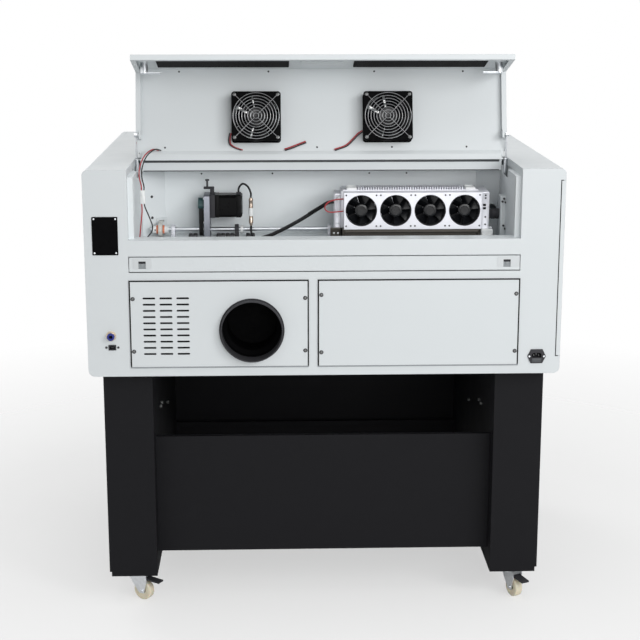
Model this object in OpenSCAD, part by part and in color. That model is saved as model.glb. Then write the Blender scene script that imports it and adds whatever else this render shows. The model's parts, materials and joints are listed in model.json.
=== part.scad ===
// Floor-standing laser engraver seen from behind with its rear lid open.
// Millimetres. X runs to the right as seen from the rear, Y from the rear face to the front, Z up.
// Left and right in every name are as seen from the rear.

/* [Cabinet] */
// Width of the cabinet
cabinet_w = 1120; // [1060:1:1400]
// Depth of the cabinet from the rear face to the front face
cabinet_d = 940; // [920:1:1200]
// Height of the cabinet without the stand
cabinet_h = 490; // [470:1:620]
// Sheet metal thickness
sheet_t = 2; // [1.5:0.1:3]
// Bend radius along the upper edges
top_bend_r = 12; // [8:1:18]
// Bend radius along the lower edges
bottom_bend_r = 16; // [8:1:24]
// Width of the opening under the rear lid
opening_w = 916; // [880:1:1000]
// Height of the rear wall up to the laser compartment
rear_wall_h = 326; // [310:1:340]
// Depth of the laser compartment
compartment_d = 310; // [300:1:340]
// Depth of the rebate that takes the rear lid
rebate_h = 20; // [18:1:26]
// Width of the ledge in the rebate
ledge_w = 12; // [10:1:16]
// Depth of the lip in front of the laser compartment
lip_d = 50; // [30:1:60]
// Run of the sloped front edge
slope_run = 40; // [20:1:80]
// Drop of the sloped front edge
slope_drop = 70; // [40:1:90]
// Depth of the control panel
fascia_d = 150; // [120:1:180]

/* [Stand] */
// Height of the stand legs
leg_h = 530; // [420:1:640]
// Width of one stand leg
leg_w = 118; // [100:1:140]
// Depth of one stand leg
leg_d = 800; // [700:1:840]
// Distance of the legs from the cabinet side
leg_inset = 27; // [10:1:60]
// Distance of the legs from the rear face
leg_setback = 58; // [20:1:90]
// Height of the rear stand panel
stand_panel_h = 300; // [200:1:380]
// Height of the rear stand panel above the leg foot
stand_panel_rise = 46; // [20:1:80]

/* [Casters] */
// Radius of a caster wheel
wheel_r = 25; // [20:0.5:32]
// Width of a caster wheel
wheel_w = 20; // [16:1:24]
// Distance of the wheel axle from the swivel axis
caster_trail = 24; // [20:1:28]

/* [Rear lid] */
// Opening angle of the rear lid at rest
lid_open = 105; // [90:1:106]
// Length of the lid flange that hangs down when the lid is shut
lid_flange = 155; // [120:1:155]
// Depth of the folded lid edge
lid_edge = 13; // [10:1:15]
// Width of the return lip of the lid edge
lid_lip = 12; // [8:1:14]
// Gap between the lid and its opening
lid_gap = 4; // [2:0.5:5]
// Side of a lid fan
lid_fan_size = 120; // [92:1:120]
// Thickness of a lid fan
lid_fan_t = 38; // [25:1:38]
// Distance of a lid fan from the middle
lid_fan_x = 160.5; // [120:0.5:220]

/* [Rear face] */
// Height of the pass-through door
door_h = 34; // [28:1:40]
// Height of the two rear panels
rear_panel_h = 208; // [190:1:215]
// Outer radius of the exhaust spigot
spigot_r = 73.5; // [60:0.5:80]
// Length of the exhaust spigot behind the rear face
spigot_len = 20; // [16:1:80]

/* [Laser] */
// Bore of one laser fan
laser_fan_bore = 76; // [60:1:77]
// Distance between laser fans
laser_fan_pitch = 83.3; // [80:0.1:90]
// Height of the laser fan shroud
shroud_h = 89; // [84:1:92]
// Thickness of the laser fan shroud
shroud_t = 26; // [22:1:30]

/* [Motion] */
// Diameter of the long drive shaft
shaft_d = 10; // [8:0.5:12]
// Radius of the belt pulleys on the drive shaft
pulley_r = 14; // [12:0.5:15]
// Side of the drive motor
motor_size = 57; // [42:1:57]
// Radius of the lift posts
post_r = 8; // [6:0.5:10]

/* [Hidden] */
$fn = 64;

// Clearances
run_gap = 0.05;
slip_gap = 0.3;
seam_gap = 0.6;
pass_gap = 2.2;

// Colours
shell_white = "#d4dcde";
stand_black = "#26272a";
steel = "#b9bdc2";
bright = "#dfe3e6";
black = "#17181a";
cream = "#d8cfae";
dark_base = "#3b3936";

// Main levels and planes
half_w = cabinet_w / 2;
caster_h = 2 * wheel_r + 30;
leg_z0 = caster_h;
cab_z0 = leg_z0 + leg_h;
deck_z = cab_z0 + cabinet_h;
skin_z = deck_z - sheet_t;
lip_z = cab_z0 + rear_wall_h;
y_mid = (cabinet_d - spigot_len) / 2;
open_x = opening_w / 2;
ledge_z = deck_z - rebate_h;
tray_x = open_x - ledge_w;
fascia_y = cabinet_d - fascia_d;
fascia_x = half_w - 20;
fascia_z = deck_z - slope_drop;

// Laser compartment
tray_drop = 36;
tray_z = lip_z - tray_drop;
tray_y = rebate_h + sheet_t;
back_y = compartment_d;
back_fold_x = tray_x - 54;
back_fold_run = 44;
fold_angle = atan2(back_fold_run + 1, tray_x + sheet_t - back_fold_x);
beam_y0 = 231;
beam_y1 = back_y + 14;
beam_z0 = deck_z - 32;

// Rear lid and its hinge
hinge_y = beam_y0 - 7;
hinge_z = deck_z - 1;
knuckle_r = 3.5;
hinge_pin_r = 1.6;
hinge_len = 80;
hinge_split = 14;
lid_x = open_x - lid_gap;
lid_y1 = hinge_y - 5;
lid_z0 = deck_z - lid_flange;
lid_edge_z = skin_z - lid_edge;
lid_fan_y = hinge_y - 99;
lid_fan_bore = lid_fan_size - 6;
hem_reach = 4;
rear_hinge_x = [-300, 0, 300];

// Lid struts: both arms about the hinge are equally long, so a strut turns at half the lid's rate
strut_x = open_x - 5;
strut_arm = [-55, -24];
strut_arm_len = norm(strut_arm);
strut_foot_angle = 283;
strut_foot = [hinge_y + strut_arm_len * cos(strut_foot_angle), hinge_z + strut_arm_len * sin(strut_foot_angle)];
strut_head_angle = atan2(strut_arm[1], strut_arm[0]) - lid_open;
strut_head = [hinge_y + strut_arm_len * cos(strut_head_angle), hinge_z + strut_arm_len * sin(strut_head_angle)];
strut_len = norm(strut_head - strut_foot);
strut_angle = atan2(strut_head[1] - strut_foot[1], strut_head[0] - strut_foot[0]);
strut_shut_len = norm([hinge_y, hinge_z] + strut_arm - strut_foot);
strut_tube_r = 4.5;
strut_tube_len = strut_shut_len - 18;
strut_rod_r = 2.5;
strut_rod_len = strut_len - strut_tube_len + 8;
strut_pin_r = 2.6;
strut_eye_r = 5;
strut_notch_y = [hinge_y - 79, beam_y0 + 19];

// Lid locks
lock_x = lid_x - 26;
lock_z = skin_z - 68;
lock_barrel_r = 9;
lock_cam_y = tray_y + sheet_t + 1;
lock_cam_len = 40;
lock_cam_t = 3;

// Pass-through door
door_x = open_x - 1;
door_z1 = tray_z - 4;
door_z0 = door_z1 - door_h;
door_pin = [4, 2.5];
door_pin_r = 1.2;
door_ear_x = door_x + 3;
door_edge = 10;

// Rear panels and ports
panel_z0 = cab_z0 + 22;
panel_z1 = panel_z0 + rear_panel_h;
panel_rim = 15;
vent_x = [-open_x, -40];
service_x = [-16, open_x];
spigot_x = -173;
spigot_z = cab_z0 + 110.5;
inlet_at = [504, cab_z0 + 42];
usb_at = [-502, cab_z0 + 71];
air_at = [-504, cab_z0 + 99];
plate_at = [-511, cab_z0 + 337];
side_seam_x = half_w - 11;
side_panel_z = [cab_z0 + 43, deck_z - 27];
side_panel_y1 = cabinet_d - 60;

// Laser and its fans
laser_x0 = 50;
shroud_y = 130;
shroud_z0 = lip_z + 2;
shroud_x1 = laser_x0 + 4 * laser_fan_pitch - 1;
laser_fan_x0 = laser_x0 + laser_fan_pitch / 2;
laser_fan_z = shroud_z0 + shroud_h / 2 + 1;
laser_y0 = shroud_y + shroud_t;
laser_y1 = 240;
beam_axis = [185, lip_z + 31];
beam_tube_r = 13;

// Drive
shaft_y = 262;
shaft_z = tray_z + 19;
shaft_r = shaft_d / 2;
motor_z = shaft_z + 61;
motor_x = [-271, -201];
belt_x = -300;
belt_w = 10;
belt_t = 2;
y_belt_x = tray_x - 44;
belt_front_y = cabinet_d - 70;

// Motion system
rail_x = y_belt_x - 27;
rail_beam_w = 30;
rail_z = tray_z + 15;
rail_h = 10;
rail_y1 = belt_front_y + 20;
gantry_y = 520;
gantry_z0 = rail_z + rail_h + 20;
gantry_beam = [40, 40];
table_x = rail_x - 25;
table_y = [345, 825];
table_z = cab_z0 + 190;
table_h = 30;
post_x = table_x - 20;
post_y = [table_y[0] + 20, table_y[1] - 20];
post_top = door_z0 - 2;
main_hinge_y = beam_y1 + 4;
main_hinge_x = [-250, 250];
main_lid_y = [main_hinge_y + 5, fascia_y - 3];
window_margin = 60;
estop_at = [470, fascia_y + 55];

// Caster places as seen from above: swivel axis, heading of the trailing wheel
caster_x = half_w - leg_inset - leg_w / 2;
caster_rear_y = leg_setback + 60;
caster_front_y = leg_setback + leg_d - 60;
caster_rear_left = [-caster_x, caster_rear_y, -29];
caster_rear_right = [caster_x, caster_rear_y, -65];
caster_front_left = [-caster_x, caster_front_y, 150];
caster_front_right = [caster_x, caster_front_y, 40];
pedal_pivot = [caster_trail + 10, 2 * wheel_r + 5];

// Wire routes, chosen by hand
motor_lead = [[-206, 250, tray_z + 108.9], [-206, 250, tray_z + 122], [-200, 249, tray_z + 132],
    [-192, 248, tray_z + 134], [-182, 246, tray_z + 126], [-176, 244, tray_z + 112], [-176, 244, tray_z + 100.5]];
motor_tail = [[-176, 244, tray_z + 30.5], [-176, 244, tray_z + 18], [-174, 240, tray_z + 9],
    [-168, 228, tray_z + 2.8]];
laser_cable = [[-158, 200, tray_z + 4.5], [-120, 196, tray_z + 18], [-60, 190, tray_z + 50],
    [-10, 186, tray_z + 82], [12, 184, tray_z + 96], [27, 184, tray_z + 99]];
laser_lead = [[49.4, 148, tray_z + 110], [30, 148, tray_z + 108], [12, 146, tray_z + 102],
    [4, 146, tray_z + 88], [16, 148, tray_z + 78], [49.4, 148, tray_z + 80]];
left_red_lead = [[-430, 70, deck_z - 88.5], [-430, 70, deck_z - 108], [-435, 74, tray_z + 50],
    [-438, 78, tray_z + 24], [-438, 78, tray_z + 0.5]];
left_black_lead = [[-424, 70, deck_z - 88.5], [-422, 71, deck_z - 98], [-413, 75, tray_z + 78],
    [-407, 79, tray_z + 58], [-409, 80, tray_z + 44], [-420, 80, tray_z + 30],
    [-430, 80, tray_z + 16], [-431, 80, tray_z + 0.5]];
hinge_lead = [[-400, 226.8, deck_z + 20], [-412, 203, deck_z + 25], [-428, 174, deck_z + 15],
    [-437, 140, deck_z - 4], [-438, 108, deck_z - 26], [-430, 70, deck_z - 46], [-430, 70, deck_z - 55.5]];
left_fan_lead = [[-222, hinge_y - 62, skin_z - 10], [-225, hinge_y - 46, skin_z - 6],
    [-222, hinge_y - 34, skin_z - 4], [-209, hinge_y - 26, skin_z - 3], [-194, hinge_y - 21, skin_z - 3]];
right_fan_lead = [[99, hinge_y - 67, skin_z - 10], [88, hinge_y - 60, skin_z - 6],
    [74, hinge_y - 46, skin_z - 4], [58, hinge_y - 32, skin_z - 3], [30, hinge_y - 22, skin_z - 3]];
fan_bundle = [[-92, hinge_y - 23, skin_z - 4], [-76, hinge_y - 28, skin_z - 4],
    [-58, hinge_y - 35, skin_z - 4], [-40, hinge_y - 42, skin_z - 4]];

// Shared shapes

// Moves children so that the middle of the footprint is the origin
module place() {
    translate([0, -y_mid, 0]) children();
}

// Turns children of the shut rear lid to its open rest pose
module lid_pose() {
    translate([0, hinge_y, hinge_z]) rotate([-lid_open, 0, 0]) translate([0, -hinge_y, -hinge_z]) children();
}

// Box between two values on each axis
module box3(x, y, z) {
    translate([x[0], y[0], z[0]]) cube([x[1] - x[0], y[1] - y[0], z[1] - z[0]]);
}

// Extrudes a profile in X and Z along Y
module along_y(y0, len) {
    translate([0, y0 + len, 0]) rotate([90, 0, 0]) linear_extrude(len) children();
}

// Extrudes a profile in Y and Z along X
module along_x(x0, len) {
    translate([x0, 0, 0]) rotate([90, 0, 90]) linear_extrude(len) children();
}

module rod_x(x, y, z, r) {
    translate([x[0], y, z]) rotate([0, 90, 0]) cylinder(h = x[1] - x[0], r = r);
}

module rod_y(x, y, z, r) {
    translate([x, y[0], z]) rotate([-90, 0, 0]) cylinder(h = y[1] - y[0], r = r);
}

module rod_z(x, y, z, r) {
    translate([x, y, z[0]]) cylinder(h = z[1] - z[0], r = r);
}

module both_sides() {
    children();
    mirror([1, 0, 0]) children();
}

// Rounded rectangle about the origin
module round_rect(w, h, r) {
    square([w - 2 * r, h], center = true);
    square([w, h - 2 * r], center = true);
    for (sx = [-1, 1], sy = [-1, 1])
        translate([sx * (w / 2 - r), sy * (h / 2 - r)]) circle(r);
}

// Cabinet outline in X and Z, drawn g inside the outer skin
module body_outline(g) {
    x = half_w - g;
    lo = cab_z0 + g;
    hi = deck_z - g;
    rt = top_bend_r - g;
    rb = bottom_bend_r - g;
    translate([-x, lo + rb]) square([2 * x, hi - rt - lo - rb]);
    translate([-x + rt, hi - rt]) square([2 * (x - rt), rt]);
    translate([-x + rb, lo]) square([2 * (x - rb), rb]);
    for (s = [-1, 1]) {
        translate([s * (x - rt), hi - rt]) circle(rt);
        translate([s * (x - rb), lo + rb]) circle(rb);
    }
}

// Y of the sloped front at height z, drawn g inside the outer skin
function slope_y(z, g) = cabinet_d - slope_run
    - (g * norm([slope_run, slope_drop]) + (z - deck_z) * slope_run) / slope_drop;

// Z of the sloped front at depth y, drawn g inside the outer skin
function slope_z(y, g) = deck_z
    - (g * norm([slope_run, slope_drop]) + (y - cabinet_d + slope_run) * slope_drop) / slope_run;

// Closed cabinet volume from y0 to the front, drawn g inside the outer skin
module cabinet_volume(g, y0) {
    front = cabinet_d - g;
    intersection() {
        along_y(y0, cabinet_d + 1 - y0) body_outline(g);
        along_x(-cabinet_w, 2 * cabinet_w) polygon([[y0, cab_z0 - 1], [front, cab_z0 - 1],
            [front, slope_z(front, g)], [slope_y(deck_z + 1, g), deck_z + 1], [y0, deck_z + 1]]);
    }
}

// One hinge knuckle with its web; dir is the side of the axis that carries it
module knuckle(x, y, dir, web) {
    rod_x(x, y, hinge_z, knuckle_r);
    box3(x, dir > 0 ? [y, y + web] : [y - web, y], [hinge_z - knuckle_r, skin_z]);
}

// The two outer knuckles and the pin of a hinge
module fixed_knuckles(x, y, dir, web) {
    knuckle([x - hinge_len / 2, x - hinge_split], y, dir, web);
    knuckle([x + hinge_split, x + hinge_len / 2], y, dir, web);
    rod_x([x - hinge_len / 2, x + hinge_len / 2], y, hinge_z, hinge_pin_r);
}

// The middle knuckle of a hinge
module free_knuckle(x, y, dir, web) {
    reach = hinge_split - slip_gap;
    difference() {
        knuckle([x - reach, x + reach], y, dir, web);
        rod_x([x - hinge_len, x + hinge_len], y, hinge_z, hinge_pin_r + run_gap);
    }
}

// Square fan housing from z = 0, which is the mounting side, to z = t
module fan_frame(size, t, bore) {
    hub_r = size * 0.2;
    web_t = 4;
    difference() {
        linear_extrude(t) round_rect(size, size, 6);
        translate([0, 0, -1]) cylinder(h = t + 2, d = bore);
        for (sx = [-1, 1], sy = [-1, 1])
            translate([sx * (size / 2 - 7.5), sy * (size / 2 - 7.5), -1]) cylinder(h = t + 2, r = 2.2);
    }
    fan_stator(bore, hub_r, web_t, t / 2);
}

// Motor carrier of a fan: hub disc, four webs and the rotor's shaft
module fan_stator(bore, hub_r, web_t, shaft_len) {
    cylinder(h = web_t, r = hub_r);
    for (a = [0, 90])
        rotate(a + 20) translate([-bore / 2 - 1, -2.5, 0]) cube([bore + 2, 5, web_t]);
    cylinder(h = shaft_len, r = 2);
}

// Fan rotor about Z from z = z0 to z1
module fan_rotor(tip_r, hub_r, z, blades) {
    h = z[1] - z[0];
    chord = h * 0.9;
    pitch = 38;
    difference() {
        union() {
            translate([0, 0, z[0]]) cylinder(h = h, r = hub_r);
            intersection() {
                translate([0, 0, z[0]]) cylinder(h = h, r = tip_r);
                for (i = [0 : blades - 1])
                    rotate(i * 360 / blades) translate([hub_r - 2, 0, z[0] + h / 2]) rotate([pitch, 0, 0])
                        translate([0, -chord / 2, -0.8]) cube([tip_r - hub_r + 4, chord, 1.6]);
            }
        }
        translate([0, 0, z[0] - 1]) cylinder(h = h - 2, r = 2 + run_gap);
    }
}

// Belt loop around two equal pulleys at a and b, given as [y, z], in the plane x
module belt_loop(x, a, b) {
    gap = run_gap * 2;
    along_x(x - belt_w / 2, belt_w) difference() {
        belt_outline(a, b, pulley_r + gap + belt_t);
        belt_outline(a, b, pulley_r + gap);
    }
}

// Outline of radius r around two points in Y and Z
module belt_outline(a, b, r) {
    d = norm(b - a);
    translate(a) rotate(atan2(b[1] - a[1], b[0] - a[0])) {
        circle(r);
        translate([d, 0]) circle(r);
        translate([0, -r]) square([d, 2 * r]);
    }
}

// Unit vector, and the direction of a route at point i
function unit(v) = v / norm(v);
function heading_at(route, i) =
    unit(route[min(i + 1, len(route) - 1)] - route[max(i - 1, 0)]);

// Points of one ring of a wire
function wire_ring(route, i, r, sides, across) =
    let (t = heading_at(route, i), u = unit(cross(t, across)), v = cross(t, u))
    [for (k = [0 : sides - 1]) route[i] + r * (cos(k * 360 / sides) * u + sin(k * 360 / sides) * v)];

// Wire of radius r along a route; across is a direction that the route never takes
module wire(route, r, across) {
    sides = 8;
    n = len(route);
    points = [for (i = [0 : n - 1]) each wire_ring(route, i, r, sides, across)];
    wall = [for (i = [0 : n - 2], k = [0 : sides - 1])
        let (a = i * sides + k, b = i * sides + (k + 1) % sides)
        each [[a, a + sides, b], [b, a + sides, b + sides]]];
    last = (n - 1) * sides;
    caps = [for (k = [1 : sides - 2]) each [[0, k, k + 1], [last, last + k + 1, last + k]]];
    polyhedron(points = points, faces = concat(wall, caps), convexity = 4);
}

// A route moved as a whole
function shifted(route, by) = [for (p = route) p + by];

// Stand

module stand_leg() {
    foot_h = 12;
    foot_step = 5;
    x0 = caster_x - leg_w / 2;
    x1 = caster_x + leg_w / 2;
    y1 = leg_setback + leg_d;
    difference() {
        union() {
            box3([x0, x1], [leg_setback, y1], [leg_z0 + foot_h, cab_z0]);
            box3([x0, x1 - foot_step], [leg_setback, y1], [leg_z0, leg_z0 + foot_h]);
        }
        box3([x0 + sheet_t, x1 - foot_step - sheet_t], [leg_setback + sheet_t, y1 - sheet_t],
            [leg_z0 + 2 * sheet_t, cab_z0 + 1]);
        box3([x0 + sheet_t, x1 - sheet_t], [leg_setback + sheet_t, y1 - sheet_t],
            [leg_z0 + foot_h + sheet_t, cab_z0 + 1]);
    }
}

module stand_legs() {
    color(stand_black) both_sides() stand_leg();
}

module stand_panels() {
    x = caster_x - leg_w / 2;
    rear_y = leg_setback + 52;
    front_y = leg_setback + leg_d - 18;
    z0 = leg_z0 + stand_panel_rise;
    fold = 15;
    shelf_z = z0 + 104;
    color(stand_black) {
        difference() {
            box3([-x, x], [rear_y, rear_y + fold], [z0, z0 + stand_panel_h]);
            box3([-x - 1, x + 1], [rear_y + sheet_t, rear_y + fold + 1],
                [z0 + sheet_t, z0 + stand_panel_h - sheet_t]);
        }
        union() {
            box3([-x, x], [front_y, front_y + sheet_t], [z0, cab_z0]);
            box3([-x, x], [front_y - fold, front_y], [shelf_z, shelf_z + fold]);
        }
    }
}

// Places children at a caster; its wheel trails along +X
module at_caster(c) {
    translate([c[0], c[1], 0]) rotate(c[2]) children();
}

module caster_plates() {
    plate_t = 3;
    race_h = 9;
    color(steel) for (c = [caster_rear_left, caster_rear_right, caster_front_left, caster_front_right])
        translate([c[0], c[1], leg_z0]) {
            translate([0, 0, -plate_t]) linear_extrude(plate_t) round_rect(62, 62, 6);
            translate([0, 0, -plate_t - race_h]) cylinder(h = race_h, r = 21);
            translate([0, 0, -plate_t - race_h - 10]) cylinder(h = 10, r = 4);
        }
}

module caster_fork(c) {
    crown_z = [leg_z0 - 18, leg_z0 - 12 - slip_gap];
    cheek_y = wheel_w / 2 + 1.5;
    cheek_t = 2.5;
    color(bright) at_caster(c) difference() {
        union() {
            rod_z(0, 0, crown_z, 22);
            box3([0, pedal_pivot[0] + 5], [-cheek_y - cheek_t, cheek_y + cheek_t], crown_z);
            for (s = [-1, 1])
                translate([0, s * (cheek_y + cheek_t / 2) + cheek_t / 2, 0]) rotate([90, 0, 0])
                    linear_extrude(cheek_t) fork_cheek(crown_z[0]);
            rod_y(caster_trail, [-cheek_y - cheek_t - 3, cheek_y + cheek_t + 3], wheel_r, 4);
            rod_y(pedal_pivot[0], [-cheek_y - cheek_t - 1, cheek_y + cheek_t + 1], pedal_pivot[1], 2);
        }
        rod_z(0, 0, [crown_z[0] - 1, crown_z[1] + 1], 4 + run_gap);
        box3([caster_trail - 2, pedal_pivot[0] + 6], [-cheek_y, cheek_y], [crown_z[0] - 1, crown_z[1] + 1]);
    }
}

// Side plate of a caster fork in X and Z
module fork_cheek(top) {
    polygon([[-14, top], [pedal_pivot[0] + 5, top], [pedal_pivot[0] + 5, pedal_pivot[1] - 5],
        [caster_trail + 7, wheel_r - 6], [caster_trail - 7, wheel_r - 6]]);
}

module caster_wheel(c) {
    edge = 4;
    color(cream) at_caster(c) translate([caster_trail, 0, wheel_r]) rotate([90, 0, 0]) rotate_extrude()
        union() {
            translate([4 + run_gap, -wheel_w / 2]) square([wheel_r - edge - 4 - run_gap, wheel_w]);
            translate([wheel_r - edge, -wheel_w / 2 + edge]) square([edge, wheel_w - 2 * edge]);
            for (s = [-1, 1])
                translate([wheel_r - edge, s * (wheel_w / 2 - edge)]) circle(edge);
        }
}

module brake_pedal(c) {
    half = wheel_w / 2 + 0.5;
    tread_len = 40;
    droop = 3.5;
    color(black) at_caster(c) translate([pedal_pivot[0], 0, pedal_pivot[1]]) along_y(-half, 2 * half)
        difference() {
            union() {
                circle(4.5);
                polygon([[0, 0], [tread_len, -droop], [tread_len, 4 - droop], [0, 4]]);
            }
            circle(2 + run_gap);
        }
}

// Cabinet

module cabinet_tub() {
    color(shell_white) difference() {
        union() {
            difference() {
                cabinet_volume(0, sheet_t);
                cabinet_volume(sheet_t, -1);
            }
            both_sides() box3([open_x, open_x + sheet_t], [sheet_t, fascia_y], [ledge_z, skin_z + 1]);
        }
        box3([-open_x, open_x], [0, fascia_y + 1], [skin_z - 1, deck_z + 1]);
        box3([-fascia_x, fascia_x], [fascia_y, cabinet_d + 1], [fascia_z, deck_z + 1]);
        box3([side_seam_x, half_w + 1], [0, side_panel_y1], side_panel_z);
    }
}

module right_side_panel() {
    z = [side_panel_z[0] + seam_gap, side_panel_z[1] - seam_gap];
    color(shell_white) {
        box3([half_w - sheet_t, half_w], [0, side_panel_y1 - seam_gap], z);
        box3([side_seam_x + seam_gap, half_w], [0, sheet_t], z);
    }
}

module rear_wall() {
    through = [-1, sheet_t + 1];
    color(shell_white) difference() {
        union() {
            difference() {
                along_y(0, sheet_t) body_outline(0);
                box3([-open_x, open_x], through, [lip_z, deck_z + 1]);
            }
            box3([-open_x, open_x], [0, tray_y], [lip_z - sheet_t, lip_z]);
            box3([-tray_x, tray_x], [tray_y - 1, lip_d], [lip_z - sheet_t, lip_z]);
            box3([-tray_x, tray_x], [lip_d - sheet_t, lip_d], [tray_z, lip_z]);
            both_sides() box3([open_x - 1, open_x + sheet_t], [0, tray_y], [lip_z - sheet_t, lip_z]);
            both_sides() box3([open_x, open_x + sheet_t], [0, tray_y], [lip_z - sheet_t, ledge_z]);
            both_sides() difference() {
                box3([door_ear_x, door_ear_x + 3], [sheet_t - 1, 9], [door_z0 - 4, door_z0 + 10]);
                rod_x([door_x, half_w], door_pin[0], door_z0 + door_pin[1], door_pin_r + run_gap);
            }
        }
        box3([-door_x - 1.5, door_x + 1.5], through, [door_z0 - pass_gap, door_z1 + pass_gap]);
        box3([vent_x[0] + panel_rim, vent_x[1] - panel_rim], through,
            [panel_z0 + panel_rim, panel_z1 - panel_rim]);
        box3([service_x[0] + panel_rim, service_x[1] - panel_rim], through,
            [panel_z0 + panel_rim, panel_z1 - panel_rim]);
        box3([inlet_at[0] - 14, inlet_at[0] + 14], through, [inlet_at[1] - 10, inlet_at[1] + 10]);
        box3([usb_at[0] - 8, usb_at[0] + 8], through, [usb_at[1] - 6, usb_at[1] + 6]);
        rod_y(air_at[0], through, air_at[1], 8 + slip_gap);
        box3([side_seam_x, half_w + 1], through, side_panel_z);
    }
}

module hinge_beam() {
    notch_x = strut_x - 9;
    color(shell_white) difference() {
        union() {
            box3([-open_x, open_x], [beam_y0, beam_y1], [skin_z, deck_z]);
            box3([-open_x, open_x], [beam_y0, beam_y0 + sheet_t], [beam_z0, deck_z]);
            box3([-open_x, open_x], [beam_y1 - sheet_t, beam_y1], [beam_z0, deck_z]);
            for (x = rear_hinge_x)
                fixed_knuckles(x, hinge_y, 1, beam_y0 + 1 - hinge_y);
            for (x = main_hinge_x)
                fixed_knuckles(x, main_hinge_y, -1, main_hinge_y - beam_y1 + 1);
        }
        both_sides() box3([notch_x, open_x + 1], [beam_y0 - 1, strut_notch_y[1]], [beam_z0 - 1, deck_z + 1]);
    }
}

module compartment_tray() {
    wall = [tray_x, tray_x + sheet_t];
    fold_y = back_y - back_fold_run;
    belt_slot = pulley_r + belt_t + 4;
    color(shell_white) difference() {
        union() {
            box3([-wall[1], wall[1]], [sheet_t, back_y + sheet_t], [tray_z - sheet_t, tray_z]);
            both_sides() {
                box3(wall, [tray_y, fold_y], [tray_z - 1, ledge_z]);
                box3([tray_x, open_x + sheet_t], [tray_y, tray_y + sheet_t], [lip_z, ledge_z]);
                box3([tray_x, open_x + sheet_t], [tray_y, beam_y0], [ledge_z - sheet_t, ledge_z]);
                rod_x([tray_x, open_x - 0.5], strut_foot[0], strut_foot[1], strut_pin_r);
            }
            translate([0, 0, tray_z - 1]) linear_extrude(skin_z - tray_z + 1)
                polygon([[-wall[1], fold_y - 1], [-back_fold_x, back_y], [back_fold_x, back_y],
                    [wall[1], fold_y - 1], [wall[1], fold_y + sheet_t], [back_fold_x, back_y + sheet_t],
                    [-back_fold_x, back_y + sheet_t], [-wall[1], fold_y + sheet_t]]);
        }
        both_sides() {
            box3([tray_x - 1, open_x + 3], [strut_notch_y[0], beam_y0 + 1], [ledge_z - 20, ledge_z + 1]);
            box3([tray_x - 1, wall[1] + 1], [tray_y + sheet_t, tray_y + sheet_t + 12],
                [lock_z - lock_cam_len - 4, lock_z + lock_cam_len + 4]);
            box3([y_belt_x - 9, y_belt_x + 9], [back_y - back_fold_run, back_y + 5],
                [shaft_z - belt_slot, shaft_z + belt_slot]);
        }
        rod_y(beam_axis_x(), [back_y - back_fold_run - 2, back_y + 5], beam_axis[1], 10);
    }
}

// X at which the laser beam is turned towards the front
function beam_axis_x() = tray_x - 16;

module vent_panel() {
    slot_w = 29.5;
    slot_h = 4.5;
    slot_pitch = [39.5, 14.9];
    slot_at = [-428, panel_z1 - 41];
    color(shell_white) difference() {
        box3(vent_x, [-sheet_t, 0], [panel_z0, panel_z1]);
        rod_y(spigot_x, [-sheet_t - 1, 1], spigot_z, spigot_r + slip_gap);
        for (i = [0 : 2], k = [0 : 9])
            translate([slot_at[0] + i * slot_pitch[0] + slot_w / 2, 0, slot_at[1] - k * slot_pitch[1]])
                along_y(-sheet_t - 1, sheet_t + 2) round_rect(slot_w, slot_h, slot_h / 2 - 0.05);
    }
}

module service_panel() {
    color(shell_white) box3(service_x, [-sheet_t, 0], [panel_z0, panel_z1]);
}

module exhaust_spigot() {
    wall = 2.5;
    flange_r = spigot_r + 3.5;
    inner_y = 30;
    color(black) translate([spigot_x, 0, spigot_z]) rotate([90, 0, 0]) rotate_extrude() union() {
        translate([spigot_r - wall, -inner_y]) square([wall, spigot_len + inner_y]);
        translate([spigot_r - wall, sheet_t]) square([flange_r - spigot_r + wall, 2]);
    }
}

module mains_inlet() {
    w = 44;
    h = 31;
    cut = 8;
    translate([inlet_at[0], 0, inlet_at[1]]) difference() {
        union() {
            along_y(-3, 3) polygon([[-w / 2, 0], [-w / 2 + cut, h / 2], [w / 2 - cut, h / 2], [w / 2, 0],
                [w / 2 - cut, -h / 2], [-w / 2 + cut, -h / 2]]);
            box3([-13.7, 13.7], [-1, 26], [-9.7, 9.7]);
        }
        box3([-11, 11], [-4, 15], [-6.5, 6.5]);
    }
    for (pin = [[-6, -1], [0, 2], [6, -1]])
        translate([inlet_at[0] + pin[0], 0, inlet_at[1] + pin[1]]) box3([-1, 1], [2, 15], [-2, 2]);
}

module usb_port() {
    translate([usb_at[0], 0, usb_at[1]]) {
        difference() {
            union() {
                box3([-9, 9], [-2.5, 0], [-6.5, 6.5]);
                box3([-7.7, 7.7], [-1, 18], [-5.7, 5.7]);
            }
            box3([-6, 6], [-3, 10], [-4, 4]);
        }
        for (s = [-1, 1])
            rod_y(s * 14, [-2, 0], 0, 3);
    }
}

module air_fitting() {
    difference() {
        union() {
            rod_y(air_at[0], [-3, 0], air_at[1], 13.5);
            rod_y(air_at[0], [-14, 20], air_at[1], 8);
        }
        rod_y(air_at[0], [-15, 21], air_at[1], 4);
    }
}

module rear_ports() {
    color(black) {
        mains_inlet();
        usb_port();
    }
    color("#c9a86a") air_fitting();
}

module rating_plate() {
    w = 60;
    h = 90;
    color(black) translate([plate_at[0], 0, plate_at[1]]) {
        along_y(-1, 1) round_rect(w, h, 2);
        for (sx = [-1, 1], sz = [-1, 1])
            rod_y(sx * (w / 2 - 5), [-2, -1], sz * (h / 2 - 5), 1.8);
    }
}

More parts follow.
